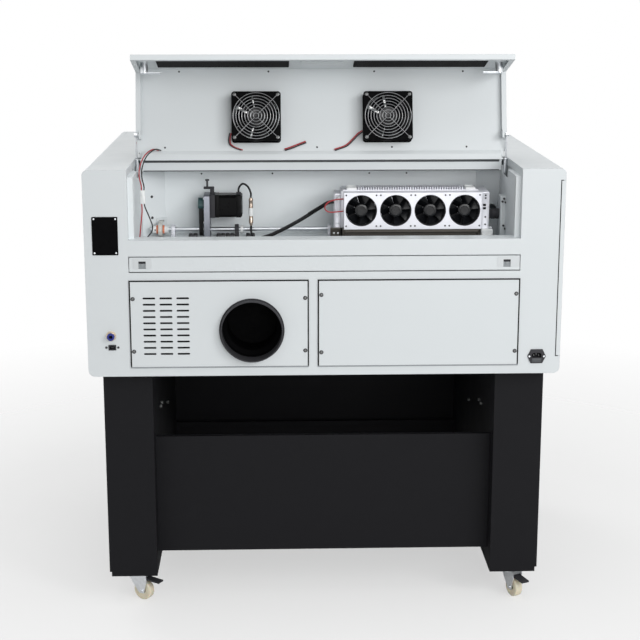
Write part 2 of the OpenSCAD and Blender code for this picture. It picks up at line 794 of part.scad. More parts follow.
// Every screw and bolt head on the fixed frame
module fasteners() {
    screw_r = 3.5;
    inset_x = 7;
    bolt_x = caster_x - leg_w / 2;
    bolt_yz = [[260, cab_z0 - 150], [296, cab_z0 - 150], [490, cab_z0 - 205]];
    color(steel) {
        for (x = [vent_x[0] + inset_x, vent_x[1] - inset_x], z = [panel_z0 + 39, panel_z1 - 42])
            rod_y(x, [-sheet_t - 2, -sheet_t], z, screw_r);
        for (x = [service_x[0] + inset_x, service_x[1] - inset_x], z = [panel_z0 + 34, panel_z1 - 35])
            rod_y(x, [-sheet_t - 2, -sheet_t], z, screw_r);
        both_sides() for (b = bolt_yz)
            translate([bolt_x, b[0], b[1]]) rotate([0, -90, 0]) cylinder(h = 6, r = 7.5, $fn = 6);
        for (dz = [45, 98])
            translate([-tray_x - sheet_t + 24, fold_face_y(24), tray_z + dz]) rotate([90, 0, fold_angle])
                cylinder(h = 2.5, r = screw_r);
    }
}

// Rear face of the folded compartment wall at a distance from the outside of the side wall
function fold_face_y(dx) = back_y - back_fold_run - 1 + dx * tan(fold_angle);

// Laser source and beam path

module laser_tube() {
    base_x = [laser_x0 - 4, shroud_x1];
    fin_pitch = 6;
    fin_t = 2;
    fin_count = 46;
    fin_x0 = laser_x0 + 8;
    top_z = shroud_z0 + shroud_h;
    end_x = [shroud_x1 + 0.5, shroud_x1 + 20];
    color(dark_base) box3(base_x, [shroud_y + 4, laser_y1], [tray_z, shroud_z0]);
    color(steel) {
        box3([laser_x0 - 6, shroud_x1], [laser_y0, laser_y1], [shroud_z0, top_z]);
        union() {
            box3([laser_x0 + 2, shroud_x1 - 2], [laser_y0 + 2, laser_y1 - 2], [top_z, top_z + 3]);
            for (i = [0 : fin_count - 1])
                translate([fin_x0 + i * fin_pitch, 0, 0])
                    box3([0, fin_t], [laser_y0 + 4, laser_y1 - 4], [top_z + 2, top_z + 15]);
        }
        box3([laser_x0 - 22, laser_x0 - 6], [laser_y0 + 6, laser_y1 - 10], [tray_z, top_z - 6]);
    }
    color(bright) box3(end_x, [shroud_y + 6, laser_y1], [tray_z, top_z]);
}

module laser_fan_shroud() {
    color(bright) difference() {
        box3([laser_x0, shroud_x1], [shroud_y, laser_y0], [shroud_z0, shroud_z0 + shroud_h]);
        for (i = [0 : 3])
            rod_y(laser_fan_x(i), [shroud_y - 1, laser_y0 + 1], laser_fan_z, laser_fan_bore / 2);
    }
    color(black) for (i = [0 : 3])
        translate([laser_fan_x(i), laser_y0, laser_fan_z]) rotate([90, 0, 0])
            fan_stator(laser_fan_bore - 2.2, 17, 3, shroud_t / 2);
}

function laser_fan_x(i) = laser_fan_x0 + i * laser_fan_pitch;

module laser_fan_rotor(i) {
    color(black) translate([laser_fan_x(i), laser_y0, laser_fan_z]) rotate([90, 0, 0])
        fan_rotor(laser_fan_bore / 2 - 2, 17, [3.6, shroud_t - 3], 7);
}

module beam_mount() {
    block_x = [tray_x - 12, tray_x];
    color(black) rod_x([shroud_x1 + 20, block_x[0]], beam_axis[0], beam_axis[1], beam_tube_r);
    color(steel) {
        box3(block_x, [beam_axis[0] - 22, beam_axis[0] + 26], [tray_z, beam_axis[1] + 24]);
        for (p = [[-14, 18], [14, 18], [-14, -18]])
            rod_x([block_x[0] - 10, block_x[0]], beam_axis[0] + p[0], beam_axis[1] + p[1], 3);
    }
}

// Drive

module y_motor() {
    y0 = shaft_y - motor_size / 2;
    color(black) difference() {
        box3(motor_x, [y0, y0 + motor_size], [motor_z - motor_size / 2, motor_z + motor_size / 2]);
        rod_x([motor_x[0] - 1, motor_x[0] + 12], shaft_y, motor_z, 4 + run_gap);
    }
}

module drive_brackets() {
    plate_x = [belt_x + 8, belt_x + 16];
    block_x = [belt_x + 16, motor_x[0]];
    block_h = 46;
    half = motor_size / 2;
    bearing_x = [-370, -212, 20, 365];
    hook_z = motor_z + half + 12;
    color(steel) difference() {
        box3(plate_x, [shaft_y - half - 6, shaft_y + half + 6], [tray_z, motor_z + half]);
        rod_x([plate_x[0] - 1, plate_x[1] + 1], shaft_y, motor_z, 6);
        rod_x([plate_x[0] - 1, plate_x[1] + 1], shaft_y, shaft_z, shaft_r + run_gap);
    }
    color(black) {
        difference() {
            union() {
                box3(block_x, [shaft_y - half, shaft_y + half], [motor_z - half, motor_z + half]);
                box3(block_x, [shaft_y - 8, shaft_y + 8], [motor_z + half - 1, hook_z]);
                box3([plate_x[0] - 3, motor_x[0] + 4], [shaft_y - 8, shaft_y + 8], [hook_z, hook_z + 5]);
            }
            rod_x([block_x[0] - 1, block_x[1] + 1], shaft_y, motor_z, 20);
        }
        for (x = bearing_x)
            difference() {
                box3([x - 5, x + 5], [shaft_y - 15, shaft_y + 15], [tray_z, shaft_z + 24]);
                rod_x([x - 6, x + 6], shaft_y, shaft_z, shaft_r + run_gap);
            }
    }
    color(steel) {
        rod_z(belt_x + 20, shaft_y, [hook_z + 5, hook_z + 20], 2.5);
        rod_z(belt_x + 20, shaft_y, [hook_z + 20, hook_z + 24], 5);
    }
}

module drive_belts() {
    color(black) {
        belt_loop(belt_x, [shaft_y, shaft_z], [shaft_y, motor_z]);
        both_sides() belt_loop(y_belt_x, [shaft_y, shaft_z], [belt_front_y, shaft_z]);
    }
}

module motor_pulley() {
    color(steel) {
        rod_x([belt_x - belt_w / 2 - 1, motor_x[0] + 10], shaft_y, motor_z, 4);
        rod_x([belt_x - belt_w / 2, belt_x + belt_w / 2], shaft_y, motor_z, pulley_r);
    }
}

module y_drive_shaft() {
    color(steel) rod_x([-tray_x + 18, tray_x - 18], shaft_y, shaft_z, shaft_r);
    color(steel) for (x = [-y_belt_x, belt_x, y_belt_x])
        difference() {
            rod_x([x - belt_w / 2, x + belt_w / 2], shaft_y, shaft_z, pulley_r);
            rod_x([x - belt_w, x + belt_w], shaft_y, shaft_z, shaft_r);
        }
    color("#e9e6e0") difference() {
        rod_x([-203, -196], shaft_y, shaft_z, 9);
        rod_x([-204, -195], shaft_y, shaft_z, shaft_r);
    }
}

// Motion system

module guide_rails() {
    beam = [rail_x - rail_beam_w / 2, rail_x + rail_beam_w / 2];
    idler_x = [beam[1], y_belt_x + belt_w / 2];
    color(steel) both_sides() {
        box3(beam, [back_y + sheet_t, rail_y1], [rail_z - 34, rail_z]);
        box3([rail_x - 7, rail_x + 7], [back_y + sheet_t + 20, rail_y1 - 10], [rail_z, rail_z + rail_h]);
        box3(beam, [rail_y1 - rail_beam_w, rail_y1], [cab_z0 + sheet_t, rail_z - 34]);
        rod_x(idler_x, belt_front_y, shaft_z, pulley_r);
        for (y = post_y)
            rod_z(post_x, y, [cab_z0 + sheet_t, post_top], post_r);
    }
}

module gantry() {
    y = [gantry_y - gantry_beam[0] / 2, gantry_y + gantry_beam[0] / 2];
    block_z = [rail_z + rail_h + slip_gap, gantry_z0];
    block_x = [rail_x - 13, rail_x + 13];
    belt_top = shaft_z + pulley_r + 2 * run_gap + belt_t;
    end_x = y_belt_x + 6;
    color(bright) {
        box3([-rail_x - 10, rail_x + 10], y, [gantry_z0, gantry_z0 + gantry_beam[1]]);
        both_sides() {
            box3(block_x, [gantry_y - 40, gantry_y + 40], block_z);
            box3([block_x[1], end_x], [gantry_y - 20, gantry_y + 20], [belt_top + slip_gap, block_z[1]]);
        }
        box3([-rail_x + 20, rail_x - 20], [y[1], y[1] + 8], [gantry_z0 + 14, gantry_z0 + 26]);
        box3([rail_x - 14, rail_x + 10], [y[0] - 26, y[0]], [gantry_z0 - 6, gantry_z0 + 34]);
    }
    color(black) box3([-rail_x - 10, -rail_x + 32], y, [gantry_z0 + gantry_beam[1], gantry_z0 + gantry_beam[1] + 42]);
}

module laser_head() {
    y0 = gantry_y + gantry_beam[0] / 2 + 8 + slip_gap;
    tube_y = y0 + 38;
    tip_z = door_z0 + 4;
    color(steel) {
        box3([-35, 35], [y0, y0 + 10], [gantry_z0 - 20, gantry_z0 + gantry_beam[1] + 10]);
        box3([-18, 18], [y0 + 10, tube_y + 18], [gantry_z0 + 6, gantry_z0 + gantry_beam[1]]);
    }
    color("#c8a24a") translate([0, tube_y, tip_z]) rotate_extrude() difference() {
        polygon([[0, 0], [4, 0], [13, 34], [13, gantry_z0 + 6 - tip_z], [0, gantry_z0 + 6 - tip_z]]);
        translate([-1, -1]) square([3, gantry_z0 + 8 - tip_z]);
    }
}

module lift_table() {
    slat_t = 3;
    slat_count = 23;
    frame_w = 42;
    inner_x = table_x - frame_w;
    slat_pitch = 2 * inner_x / (slat_count + 1);
    z = [table_z - table_h, table_z];
    color(steel) difference() {
        union() {
            difference() {
                box3([-table_x, table_x], table_y, z);
                box3([-inner_x, inner_x], [table_y[0] + frame_w, table_y[1] - frame_w], [z[0] - 1, z[1] + 1]);
            }
            for (i = [1 : slat_count])
                translate([-inner_x + i * slat_pitch - slat_t / 2, 0, 0])
                    box3([0, slat_t], [table_y[0] + frame_w - 1, table_y[1] - frame_w + 1], z);
        }
        both_sides() for (y = post_y)
            rod_z(post_x, y, [z[0] - 1, z[1] + 1], post_r + run_gap);
    }
}

module electronics() {
    x0 = tray_x + 30;
    color(steel) box3([x0, half_w - bottom_bend_r - 4], [330, 545], [cab_z0 + sheet_t, cab_z0 + sheet_t + 115]);
    color("#5d6468") box3([x0, x0 + 50], [580, 760], [cab_z0 + sheet_t, cab_z0 + sheet_t + 130]);
}

// Front

module control_panel() {
    gap = seam_gap;
    y0 = fascia_y + gap;
    screen_x = [170, 330];
    screen_y = [fascia_y + 24, fascia_y + 96];
    key_at = [362, fascia_y + 40];
    color(shell_white) difference() {
        intersection() {
            cabinet_volume(0, sheet_t);
            box3([-fascia_x + gap, fascia_x - gap], [y0, cabinet_d + 1], [fascia_z + gap, deck_z + 1]);
        }
        cabinet_volume(sheet_t, -1);
        rod_z(estop_at[0], estop_at[1], [skin_z - 1, deck_z + 1], 11);
    }
    color(black) {
        box3(screen_x, screen_y, [deck_z, deck_z + 2]);
        for (i = [0 : 2], k = [0 : 2])
            translate([key_at[0] + i * 22, key_at[1] + k * 22, deck_z]) linear_extrude(1.5) round_rect(16, 16, 3);
    }
    color("#d8b23a") difference() {
        rod_z(estop_at[0], estop_at[1], [deck_z, deck_z + 8], 20);
        rod_z(estop_at[0], estop_at[1], [deck_z - 1, deck_z + 9], 11);
    }
}

module estop_button() {
    color("#b3261e") {
        rod_z(estop_at[0], estop_at[1], [skin_z - 16, deck_z + 17], 11 - slip_gap);
        rod_z(estop_at[0], estop_at[1], [deck_z + 17, deck_z + 28], 19);
    }
}

module main_lid() {
    x = open_x - 3;
    win_x = x - window_margin;
    win_y = [main_lid_y[0] + 50, main_lid_y[1] - 50];
    handle_y = main_lid_y[1] - 22;
    color(shell_white) difference() {
        union() {
            box3([-x, x], main_lid_y, [skin_z, deck_z]);
            both_sides() box3([x - sheet_t, x], main_lid_y, [skin_z - lid_edge, deck_z]);
            box3([-x, x], [main_lid_y[1] - sheet_t, main_lid_y[1]], [skin_z - lid_edge, deck_z]);
            for (hx = main_hinge_x)
                free_knuckle(hx, main_hinge_y, 1, 10);
        }
        box3([-win_x, win_x], win_y, [skin_z - 1, deck_z + 1]);
    }
    color(black) {
        for (s = [-1, 1])
            rod_z(s * 80, handle_y, [deck_z, deck_z + 26], 5);
        rod_x([-95, 95], handle_y, deck_z + 26, 6);
    }
}

module main_lid_window() {
    x = open_x - 3 - window_margin + 14;
    color("#3a3f42", 0.6) box3([-x, x], [main_lid_y[0] + 36, main_lid_y[1] - 36], [skin_z - 4, skin_z]);
}

// Rear lid, drawn shut and turned open

module rear_lid() {
    cup_x = 51;
    cup_z = [skin_z - 108, skin_z - 77];
    cup_d = 10;
    color(shell_white) lid_pose() difference() {
        union() {
            box3([-lid_x, lid_x], [0, lid_y1], [skin_z, deck_z]);
            box3([-lid_x, lid_x], [0, sheet_t], [lid_z0, deck_z]);
            box3([-lid_x, lid_x], [0, lid_edge], [lid_z0, lid_z0 + sheet_t]);
            box3([-lid_x, lid_x], [lid_edge - sheet_t, lid_edge], [lid_z0, lid_z0 + lid_lip]);
            both_sides() {
                box3([lid_x - sheet_t, lid_x], [0, lid_y1], [lid_edge_z, deck_z]);
                box3([lid_x - lid_lip, lid_x], [lid_edge - sheet_t, lid_y1], [lid_edge_z, lid_edge_z + sheet_t]);
                box3([lid_x - sheet_t, lid_x], [0, lid_edge], [lid_z0, lid_edge_z + 1]);
                box3([lid_x - lid_lip, lid_x], [lid_edge - sheet_t, lid_edge], [lid_z0, lid_edge_z + sheet_t]);
                strut_bracket();
            }
            box3([-cup_x, cup_x], [0, cup_d + sheet_t], cup_z);
            lid_hem();
            for (x = rear_hinge_x)
                free_knuckle(x, hinge_y, -1, 9);
        }
        box3([-cup_x + sheet_t, cup_x - sheet_t], [-1, cup_d], [cup_z[0] + sheet_t, cup_z[1] - sheet_t]);
        both_sides() {
            rod_y(lock_x, [-1, sheet_t + 1], lock_z, lock_barrel_r + slip_gap);
            fan_slots();
            box3([lid_x - lid_lip - 1, lid_x + 1], [hinge_y - 46, hinge_y], [lid_edge_z - 1, skin_z]);
            box3([strut_x - 7, lid_x + 1], [hinge_y - 17, hinge_y + hem_reach + 1], [lid_edge_z - 1, deck_z + 1]);
        }
    }
}

// Joggled hem of the lid that covers the hinge knuckles on the inside
module lid_hem() {
    hem_t = 1.5;
    z = hinge_z - knuckle_r - 2 * slip_gap;
    run = [hinge_y - 18, hinge_y - 10, hinge_y + hem_reach];
    along_x(-lid_x, 2 * lid_x) polygon([[run[0], skin_z + 0.5], [run[0], skin_z - hem_t], [run[1], z - hem_t],
        [run[2], z - hem_t], [run[2], z], [run[1] + 1, z], [run[0] + 2, skin_z + 0.5]]);
}

// Air slots in the lid above a fan
module fan_slots() {
    r = lid_fan_bore / 2 - 6;
    pitch = r * 0.27;
    for (i = [-3 : 3])
        translate([lid_fan_x, lid_fan_y + i * pitch, 0]) {
            half = sqrt(r * r - pitch * pitch * i * i);
            box3([-half, half], [-3.5, 3.5], [skin_z - 1, deck_z + 1]);
        }
}

// Stud on the shut lid beside the head of a strut
module strut_bracket() {
    y = hinge_y + strut_arm[0];
    z = hinge_z + strut_arm[1];
    plate_x = [lid_x - lid_lip - 1, lid_x - lid_lip + 3];
    box3(plate_x, [y - 9, y + 9], [z - 6, lid_edge_z + 1]);
    rod_x([plate_x[0], strut_x - 4.6], y, z, 3);
}

module lid_fan_frames() {
    color(black) lid_pose() for (s = [-1, 1])
        translate([s * lid_fan_x, lid_fan_y, skin_z]) rotate([180, 0, 0]) {
            fan_frame(lid_fan_size, lid_fan_t, lid_fan_bore);
            translate([0, 0, lid_fan_t]) fan_guard();
        }
}

// Ring guard of a lid fan: two crossed bars that carry flat rings
module fan_guard() {
    wire_w = 2;
    ring_r = lid_fan_size / 12;
    ring_pitch = lid_fan_size * 0.054;
    ring_count = 8;
    reach = lid_fan_size * 0.65;
    for (a = [45, 135])
        rotate(a) translate([-reach, -wire_w / 2, 0]) cube([2 * reach, wire_w, wire_w]);
    for (i = [0 : ring_count - 1])
        translate([0, 0, wire_w]) difference() {
            cylinder(h = wire_w, r = ring_r + i * ring_pitch);
            translate([0, 0, -1]) cylinder(h = wire_w + 2, r = ring_r + i * ring_pitch - wire_w);
        }
}

module lid_fan_rotor(s) {
    color(black) lid_pose() translate([s * lid_fan_x, lid_fan_y, skin_z]) rotate([180, 0, 0])
        fan_rotor(lid_fan_bore / 2 - 2, 24, [4.6, lid_fan_t - 5], 7);
}

module lid_lock(s) {
    color(bright) lid_pose() {
        rod_y(s * lock_x, [-3, 0], lock_z, lock_barrel_r + 2);
        rod_y(s * lock_x, [0, lock_cam_y], lock_z, lock_barrel_r);
        rod_y(s * lock_x, [lock_cam_y, lock_cam_y + lock_cam_t], lock_z, lock_barrel_r);
        box3(s > 0 ? [lock_x - lock_cam_len, lock_x] : [-lock_x, -lock_x + lock_cam_len],
            [lock_cam_y, lock_cam_y + lock_cam_t], [lock_z - 8, lock_z + 8]);
    }
}

// Places children at the foot of a strut with the strut along +Y
module strut_frame(s) {
    translate([s * strut_x, strut_foot[0], strut_foot[1]]) rotate([strut_angle, 0, 0]) children();
}

module strut_cylinder(s) {
    color(black) strut_frame(s) difference() {
        union() {
            rod_x([-4, 4], 0, 0, strut_eye_r);
            rod_y(0, [0, strut_tube_len], 0, strut_tube_r);
        }
        rod_x([-6, 6], 0, 0, strut_pin_r + run_gap);
        rod_y(0, [strut_eye_r + 1.5, strut_tube_len + 1], 0, strut_rod_r + run_gap);
    }
}

module strut_rod(s) {
    color(steel) strut_frame(s) difference() {
        union() {
            rod_y(0, [strut_len - strut_rod_len, strut_len], 0, strut_rod_r);
            rod_x([-4, 4], strut_len, 0, strut_eye_r);
        }
        rod_x([-6, 6], strut_len, 0, 3.1);
    }
}

// Wires

module lid_wires() {
    lead_r = 1.5;
    color("#8c2f2f") wire(hinge_lead, lead_r, [1, 0, 0]);
    color(black) wire(shifted(hinge_lead, [6, 0, 0]), lead_r, [1, 0, 0]);
    lid_pose() {
        color("#8c2f2f") wire(left_fan_lead, lead_r, [0, 0, 1]);
        color("#8c2f2f") wire(right_fan_lead, lead_r, [0, 0, 1]);
        color("#3a2422") wire(fan_bundle, 3, [0, 0, 1]);
    }
}

module compartment_wires() {
    lead_r = 1.5;
    plug = [-427, 70];
    color(black) {
        wire(motor_lead, 2.5, [0, 1, 0]);
        wire(motor_tail, 2.5, [1, 0, 0]);
        wire(laser_cable, 4, [0, 1, 0]);
        wire(shifted(laser_cable, [0, -8.6, 0]), 4, [0, 1, 0]);
        wire(left_black_lead, lead_r, [0, 1, 0]);
    }
    color(bright) rod_z(motor_tail[0][0], motor_tail[0][1], [tray_z + 31, tray_z + 100], 6);
    color("#8c2f2f") {
        wire(laser_lead, lead_r, [0, 1, 0]);
        wire(left_red_lead, lead_r, [0, 1, 0]);
    }
    color("#eeeeea") box3([plug[0] - 6, plug[0] + 6], [plug[1] - 4, plug[1] + 4], [deck_z - 88, deck_z - 56]);
}

// Pass-through door

module pass_door() {
    z = [door_z0, door_z1];
    color(shell_white) difference() {
        union() {
            box3([-door_x, door_x], [0, sheet_t], z);
            box3([-door_x, door_x], [0, door_edge], [door_z1 - sheet_t, door_z1]);
            both_sides() {
                box3([door_x - 3, door_x], [0, door_edge], [door_z0 + 6, door_z1]);
                box3([door_x - 3, door_x], [0, 7], [door_z0, door_z0 + 7]);
                rod_x([door_x - 3, door_ear_x + 3], door_pin[0], door_z0 + door_pin[1], door_pin_r);
            }
        }
        for (s = [-1, 1])
            latch_window(s);
        both_sides() box3([door_x - 4, door_x + 1], [sheet_t, sheet_t + 6.5], [door_z0 + 11, door_z1 - 5]);
    }
}

// Finger window of a door latch with room for its travel
module latch_window(s) {
    x = s * (door_x - 30);
    box3([x - 8.5, x + 8.5], [-1, sheet_t + 1], [door_z0 + 7, door_z1 - 9]);
}

// Slide latch behind the door skin with a finger cup in the window
module door_latch(s) {
    x = s * (door_x - 30);
    y = [sheet_t + slip_gap, sheet_t + 4];
    z = [door_z0 + 12, door_z1 - 6];
    outer = s > 0 ? [x - 20, door_x - 5] : [-door_x + 5, x + 20];
    bolt = s > 0 ? [door_x - 6, door_x - 0.5] : [-door_x + 0.5, -door_x + 6];
    color(black) {
        box3(outer, y, z);
        box3(bolt, [sheet_t + 1, sheet_t + 4], [z[0] + 2, z[1] - 2]);
        box3([x - 3, x + 3], [0.5, y[0]], [z[0], z[1] - 4]);
    }
}

place() stand_legs();
place() stand_panels();
place() caster_plates();
place() fasteners();
place() cabinet_tub();
place() right_side_panel();
place() rear_wall();
place() hinge_beam();
place() compartment_tray();
place() vent_panel();
place() service_panel();
place() exhaust_spigot();
place() rear_ports();
place() rating_plate();
place() laser_tube();
place() laser_fan_shroud();
place() beam_mount();
place() y_motor();
place() drive_brackets();
place() drive_belts();
place() guide_rails();
place() electronics();
place() control_panel();
place() compartment_wires();
place() caster_fork(caster_rear_left);  // caster_fork_rear_left
place() caster_fork(caster_rear_right);  // caster_fork_rear_right
place() caster_fork(caster_front_left);  // caster_fork_front_left
place() caster_fork(caster_front_right);  // caster_fork_front_right
place() caster_wheel(caster_rear_left);  // caster_wheel_rear_left
place() caster_wheel(caster_rear_right);  // caster_wheel_rear_right
place() caster_wheel(caster_front_left);  // caster_wheel_front_left
place() caster_wheel(caster_front_right);  // caster_wheel_front_right
place() brake_pedal(caster_rear_left);  // brake_pedal_left
place() brake_pedal(caster_rear_right);  // brake_pedal_right
place() pass_door();
place() door_latch(-1);  // door_latch_left
place() door_latch(1);  // door_latch_right
place() rear_lid();
place() lid_fan_frames();
place() lid_fan_rotor(-1);  // lid_fan_rotor_left
place() lid_fan_rotor(1);  // lid_fan_rotor_right
place() lid_lock(-1);  // lid_lock_left
place() lid_lock(1);  // lid_lock_right
place() strut_cylinder(-1);  // strut_cylinder_left
place() strut_cylinder(1);  // strut_cylinder_right
place() strut_rod(-1);  // strut_rod_left
place() strut_rod(1);  // strut_rod_right
place() lid_wires();
place() laser_fan_rotor(0);  // laser_fan_rotor_1
place() laser_fan_rotor(1);  // laser_fan_rotor_2
place() laser_fan_rotor(2);  // laser_fan_rotor_3
place() laser_fan_rotor(3);  // laser_fan_rotor_4
place() motor_pulley();
place() y_drive_shaft();
place() gantry();
place() laser_head();
place() lift_table();
place() main_lid();
place() main_lid_window();
place() estop_button();
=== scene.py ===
"""Looks of a floor-standing laser engraver with its rear lid open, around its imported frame.

The bench works in mm as a maker measures: X to the right as seen from the rear, Y from the rear
face to the front, Z up from the floor. Mounting a piece puts it into the frame, in metres.
"""

import json
import logging
import math
from dataclasses import dataclass, replace
from enum import Enum
from typing import Callable, Iterable, Sequence

import bpy
from mathutils import Matrix, Vector

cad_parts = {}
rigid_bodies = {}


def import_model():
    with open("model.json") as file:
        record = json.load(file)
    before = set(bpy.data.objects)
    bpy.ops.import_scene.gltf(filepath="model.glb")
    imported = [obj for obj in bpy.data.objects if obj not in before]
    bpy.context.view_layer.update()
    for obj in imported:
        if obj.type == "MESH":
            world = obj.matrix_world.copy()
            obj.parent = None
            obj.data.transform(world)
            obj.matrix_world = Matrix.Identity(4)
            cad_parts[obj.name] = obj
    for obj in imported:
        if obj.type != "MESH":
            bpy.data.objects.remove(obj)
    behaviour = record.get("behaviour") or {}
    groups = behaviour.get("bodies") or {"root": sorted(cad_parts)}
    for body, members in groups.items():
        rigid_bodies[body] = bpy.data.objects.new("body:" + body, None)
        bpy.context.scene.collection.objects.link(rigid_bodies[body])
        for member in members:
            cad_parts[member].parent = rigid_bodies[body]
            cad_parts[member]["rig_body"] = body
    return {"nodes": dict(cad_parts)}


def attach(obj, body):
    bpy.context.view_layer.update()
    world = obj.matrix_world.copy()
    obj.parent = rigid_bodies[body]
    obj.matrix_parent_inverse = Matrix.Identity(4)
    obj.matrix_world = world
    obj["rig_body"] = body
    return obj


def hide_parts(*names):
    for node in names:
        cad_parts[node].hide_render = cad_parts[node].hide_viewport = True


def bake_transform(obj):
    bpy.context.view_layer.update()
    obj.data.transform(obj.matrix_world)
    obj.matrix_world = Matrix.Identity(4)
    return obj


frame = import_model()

LOG = logging.getLogger("laser_engraver")
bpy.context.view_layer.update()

MM = 0.001
FOOTPRINT_MID_Y = 460.0
LID_HINGE_Y = 224.0
LID_HINGE_Z = 1099.0
LID_OPEN_DEG = 105.0
LID_SKIN_Z = 1098.0
TRAY_Z = 900.0
# Where the drive motor's lead comes out of its socket, on X and Y
MOTOR_LEAD_AT = (-206.0, 250.0)
DECK_Z = 1100.0
SIDES = (("left", -1), ("right", 1))
# How closely a face or an edge has to follow a direction, and how little a level edge may rise
FLAT, LEVEL = 0.9, 0.5
WELD_MM = 0.001
SMOOTH_DEG = 34.0
# Stands an outline up so that it is drawn across Y and Z and pulled along X
SIDEWAYS = Matrix(((0, 0, 1, 0), (1, 0, 0, 0), (0, 1, 0, 0), (0, 0, 0, 1)))

Colour = tuple[float, float, float]
Point = tuple[float, float, float]
Span = tuple[float, float]
Test = Callable[[Vector, Vector], bool]


class Facing(Enum):
    """Direction in which a turned or driven piece looks."""

    RIGHT = (1.0, 0.0, 0.0)
    LEFT = (-1.0, 0.0, 0.0)
    FRONT = (0.0, 1.0, 0.0)
    REAR = (0.0, -1.0, 0.0)
    UP = (0.0, 0.0, 1.0)
    DOWN = (0.0, 0.0, -1.0)

    def turn(self) -> Matrix:
        """Turn that brings up onto this direction."""
        return aim(Vector(self.value))


class Station(Enum):
    """How a piece was drawn: on the standing machine, or on the rear lid as if it were shut."""

    MACHINE = "machine"
    SHUT_LID = "shut_lid"


class FarEnd(Enum):
    """What a lead runs into at its far end."""

    INTO_MACHINE = "object"
    CONNECTOR = "connector"
    PLUG = "plug"


def aim(direction: Vector) -> Matrix:
    """Turn that brings up onto a direction."""
    return Vector((0, 0, 1)).rotation_difference(direction).to_matrix().to_4x4()


def spot(x: float, y: float, z: float, facing: Facing = Facing.UP) -> Matrix:
    """Place of a piece that stands on the origin and looks up.

    Args:
        x, y, z: Where its foot goes, in mm.
        facing: Where it looks.

    Returns:
        The matrix that moves it there.
    """
    return Matrix.Translation((x, y, z)) @ facing.turn()


def to_frame(station: Station) -> Matrix:
    """Matrix from the bench, in mm, to the frame, in metres.

    Args:
        station: How the piece was drawn.

    Returns:
        The matrix that mounts it.
    """
    place = Matrix.Scale(MM, 4) @ spot(0, -FOOTPRINT_MID_Y, 0)
    if station is Station.SHUT_LID:
        hinge = spot(0, LID_HINGE_Y, LID_HINGE_Z)
        place = place @ hinge @ Matrix.Rotation(math.radians(-LID_OPEN_DEG), 4, "X") @ hinge.inverted()
    return place


def tone(red: int, green: int, blue: int) -> Colour:
    """Linear colour of an 8-bit screen colour."""
    return tuple(
        c / 12.92 if c <= 0.04045 else ((c + 0.055) / 1.055) ** 2.4
        for c in (red / 255, green / 255, blue / 255)
    )


class Graph:
    """Node graph of one finish, with short calls for the nodes that finishes share."""

    def __init__(self, name: str) -> None:
        """Starts a material with a shader and the piece's own coordinates."""
        self.material = bpy.data.materials.new(name)
        self.material.use_nodes = True
        self.tree = self.material.node_tree
        self.tree.nodes.clear()
        self.shader = self.node("ShaderNodeBsdfPrincipled")
        output = self.node("ShaderNodeOutputMaterial")
        self.tree.links.new(self.shader.outputs["BSDF"], output.inputs["Surface"])
        self.place = self.node("ShaderNodeTexCoord").outputs["Object"]

    def node(self, kind: str) -> bpy.types.Node:
        """Adds one node."""
        return self.tree.nodes.new(kind)

    def feed(self, target: bpy.types.NodeSocket, value: object) -> None:
        """Links a socket into an input, or sets the input's own value."""
        if isinstance(value, bpy.types.NodeSocket):
            self.tree.links.new(value, target)
        else:
            target.default_value = value

    def made(self, kind: str, output: str, inputs: dict[str, object]) -> bpy.types.NodeSocket:
        """Adds one node and feeds it.

        Args:
            kind: Kind of node.
            output: Name of the output that is asked for.
            inputs: Socket or value for each input, by name.

        Returns:
            The output.
        """
        node = self.node(kind)
        for name, value in inputs.items():
            self.feed(node.inputs[name], value)
        return node.outputs[output]

    def put(self, name: str, value: object) -> None:
        """Feeds one input of the shader."""
        self.feed(self.shader.inputs[name], value)

    def stretched(self, scale: Point) -> bpy.types.NodeSocket:
        """Coordinates stretched by a scale on each axis."""
        return self.made("ShaderNodeMapping", "Vector", {"Scale": scale, "Vector": self.place})

    def noise(self, scale: float, detail: float = 2.0,
              vector: bpy.types.NodeSocket | None = None) -> bpy.types.NodeSocket:
        """Noise from 0 to 1 at a scale per metre."""
        return self.made("ShaderNodeTexNoise", "Fac",
                         {"Scale": scale, "Detail": detail, "Vector": vector or self.place})

    def bands(self, scale: float, axis: str) -> bpy.types.NodeSocket:
        """Even bands across one axis, from 0 to 1."""
        node = self.node("ShaderNodeTexWave")
        node.bands_direction = axis
        node.inputs["Scale"].default_value = scale
        self.feed(node.inputs["Vector"], self.place)
        return node.outputs["Fac"]

    def span(self, value: bpy.types.NodeSocket, low: float, high: float,
             to_low: float, to_high: float) -> bpy.types.NodeSocket:
        """Value moved from one span to another and held inside it."""
        return self.made("ShaderNodeMapRange", "Result", {"From Min": low, "From Max": high, "To Min": to_low,
                                                          "To Max": to_high, "Value": value})

    def mix(self, share: bpy.types.NodeSocket, first: object, second: object) -> bpy.types.NodeSocket:
        """Two colours mixed by a share."""
        node = self.node("ShaderNodeMix")
        node.data_type = "RGBA"
        self.feed(node.inputs[0], share)
        for index, colour in ((6, first), (7, second)):
            self.feed(node.inputs[index], (*colour, 1.0) if isinstance(colour, tuple) else colour)
        return node.outputs[2]

    def bump(self, height: bpy.types.NodeSocket, depth: float,
             below: bpy.types.NodeSocket | None = None) -> bpy.types.NodeSocket:
        """Normal of a surface with a height in metres, on top of another normal."""
        under = {} if below is None else {"Normal": below}
        return self.made("ShaderNodeBump", "Normal", {"Distance": depth, "Height": height, **under})

    def soft_edges(self, radius: float) -> bpy.types.NodeSocket:
        """Normal that rounds the edges off by a radius in metres."""
        node = self.node("ShaderNodeBevel")
        node.samples = 4
        node.inputs["Radius"].default_value = radius
        return node.outputs["Normal"]


def scaled(colour: Colour, share: float) -> Colour:
    """A colour made lighter or darker."""
    return tuple(min(1.0, max(0.0, c * share)) for c in colour)


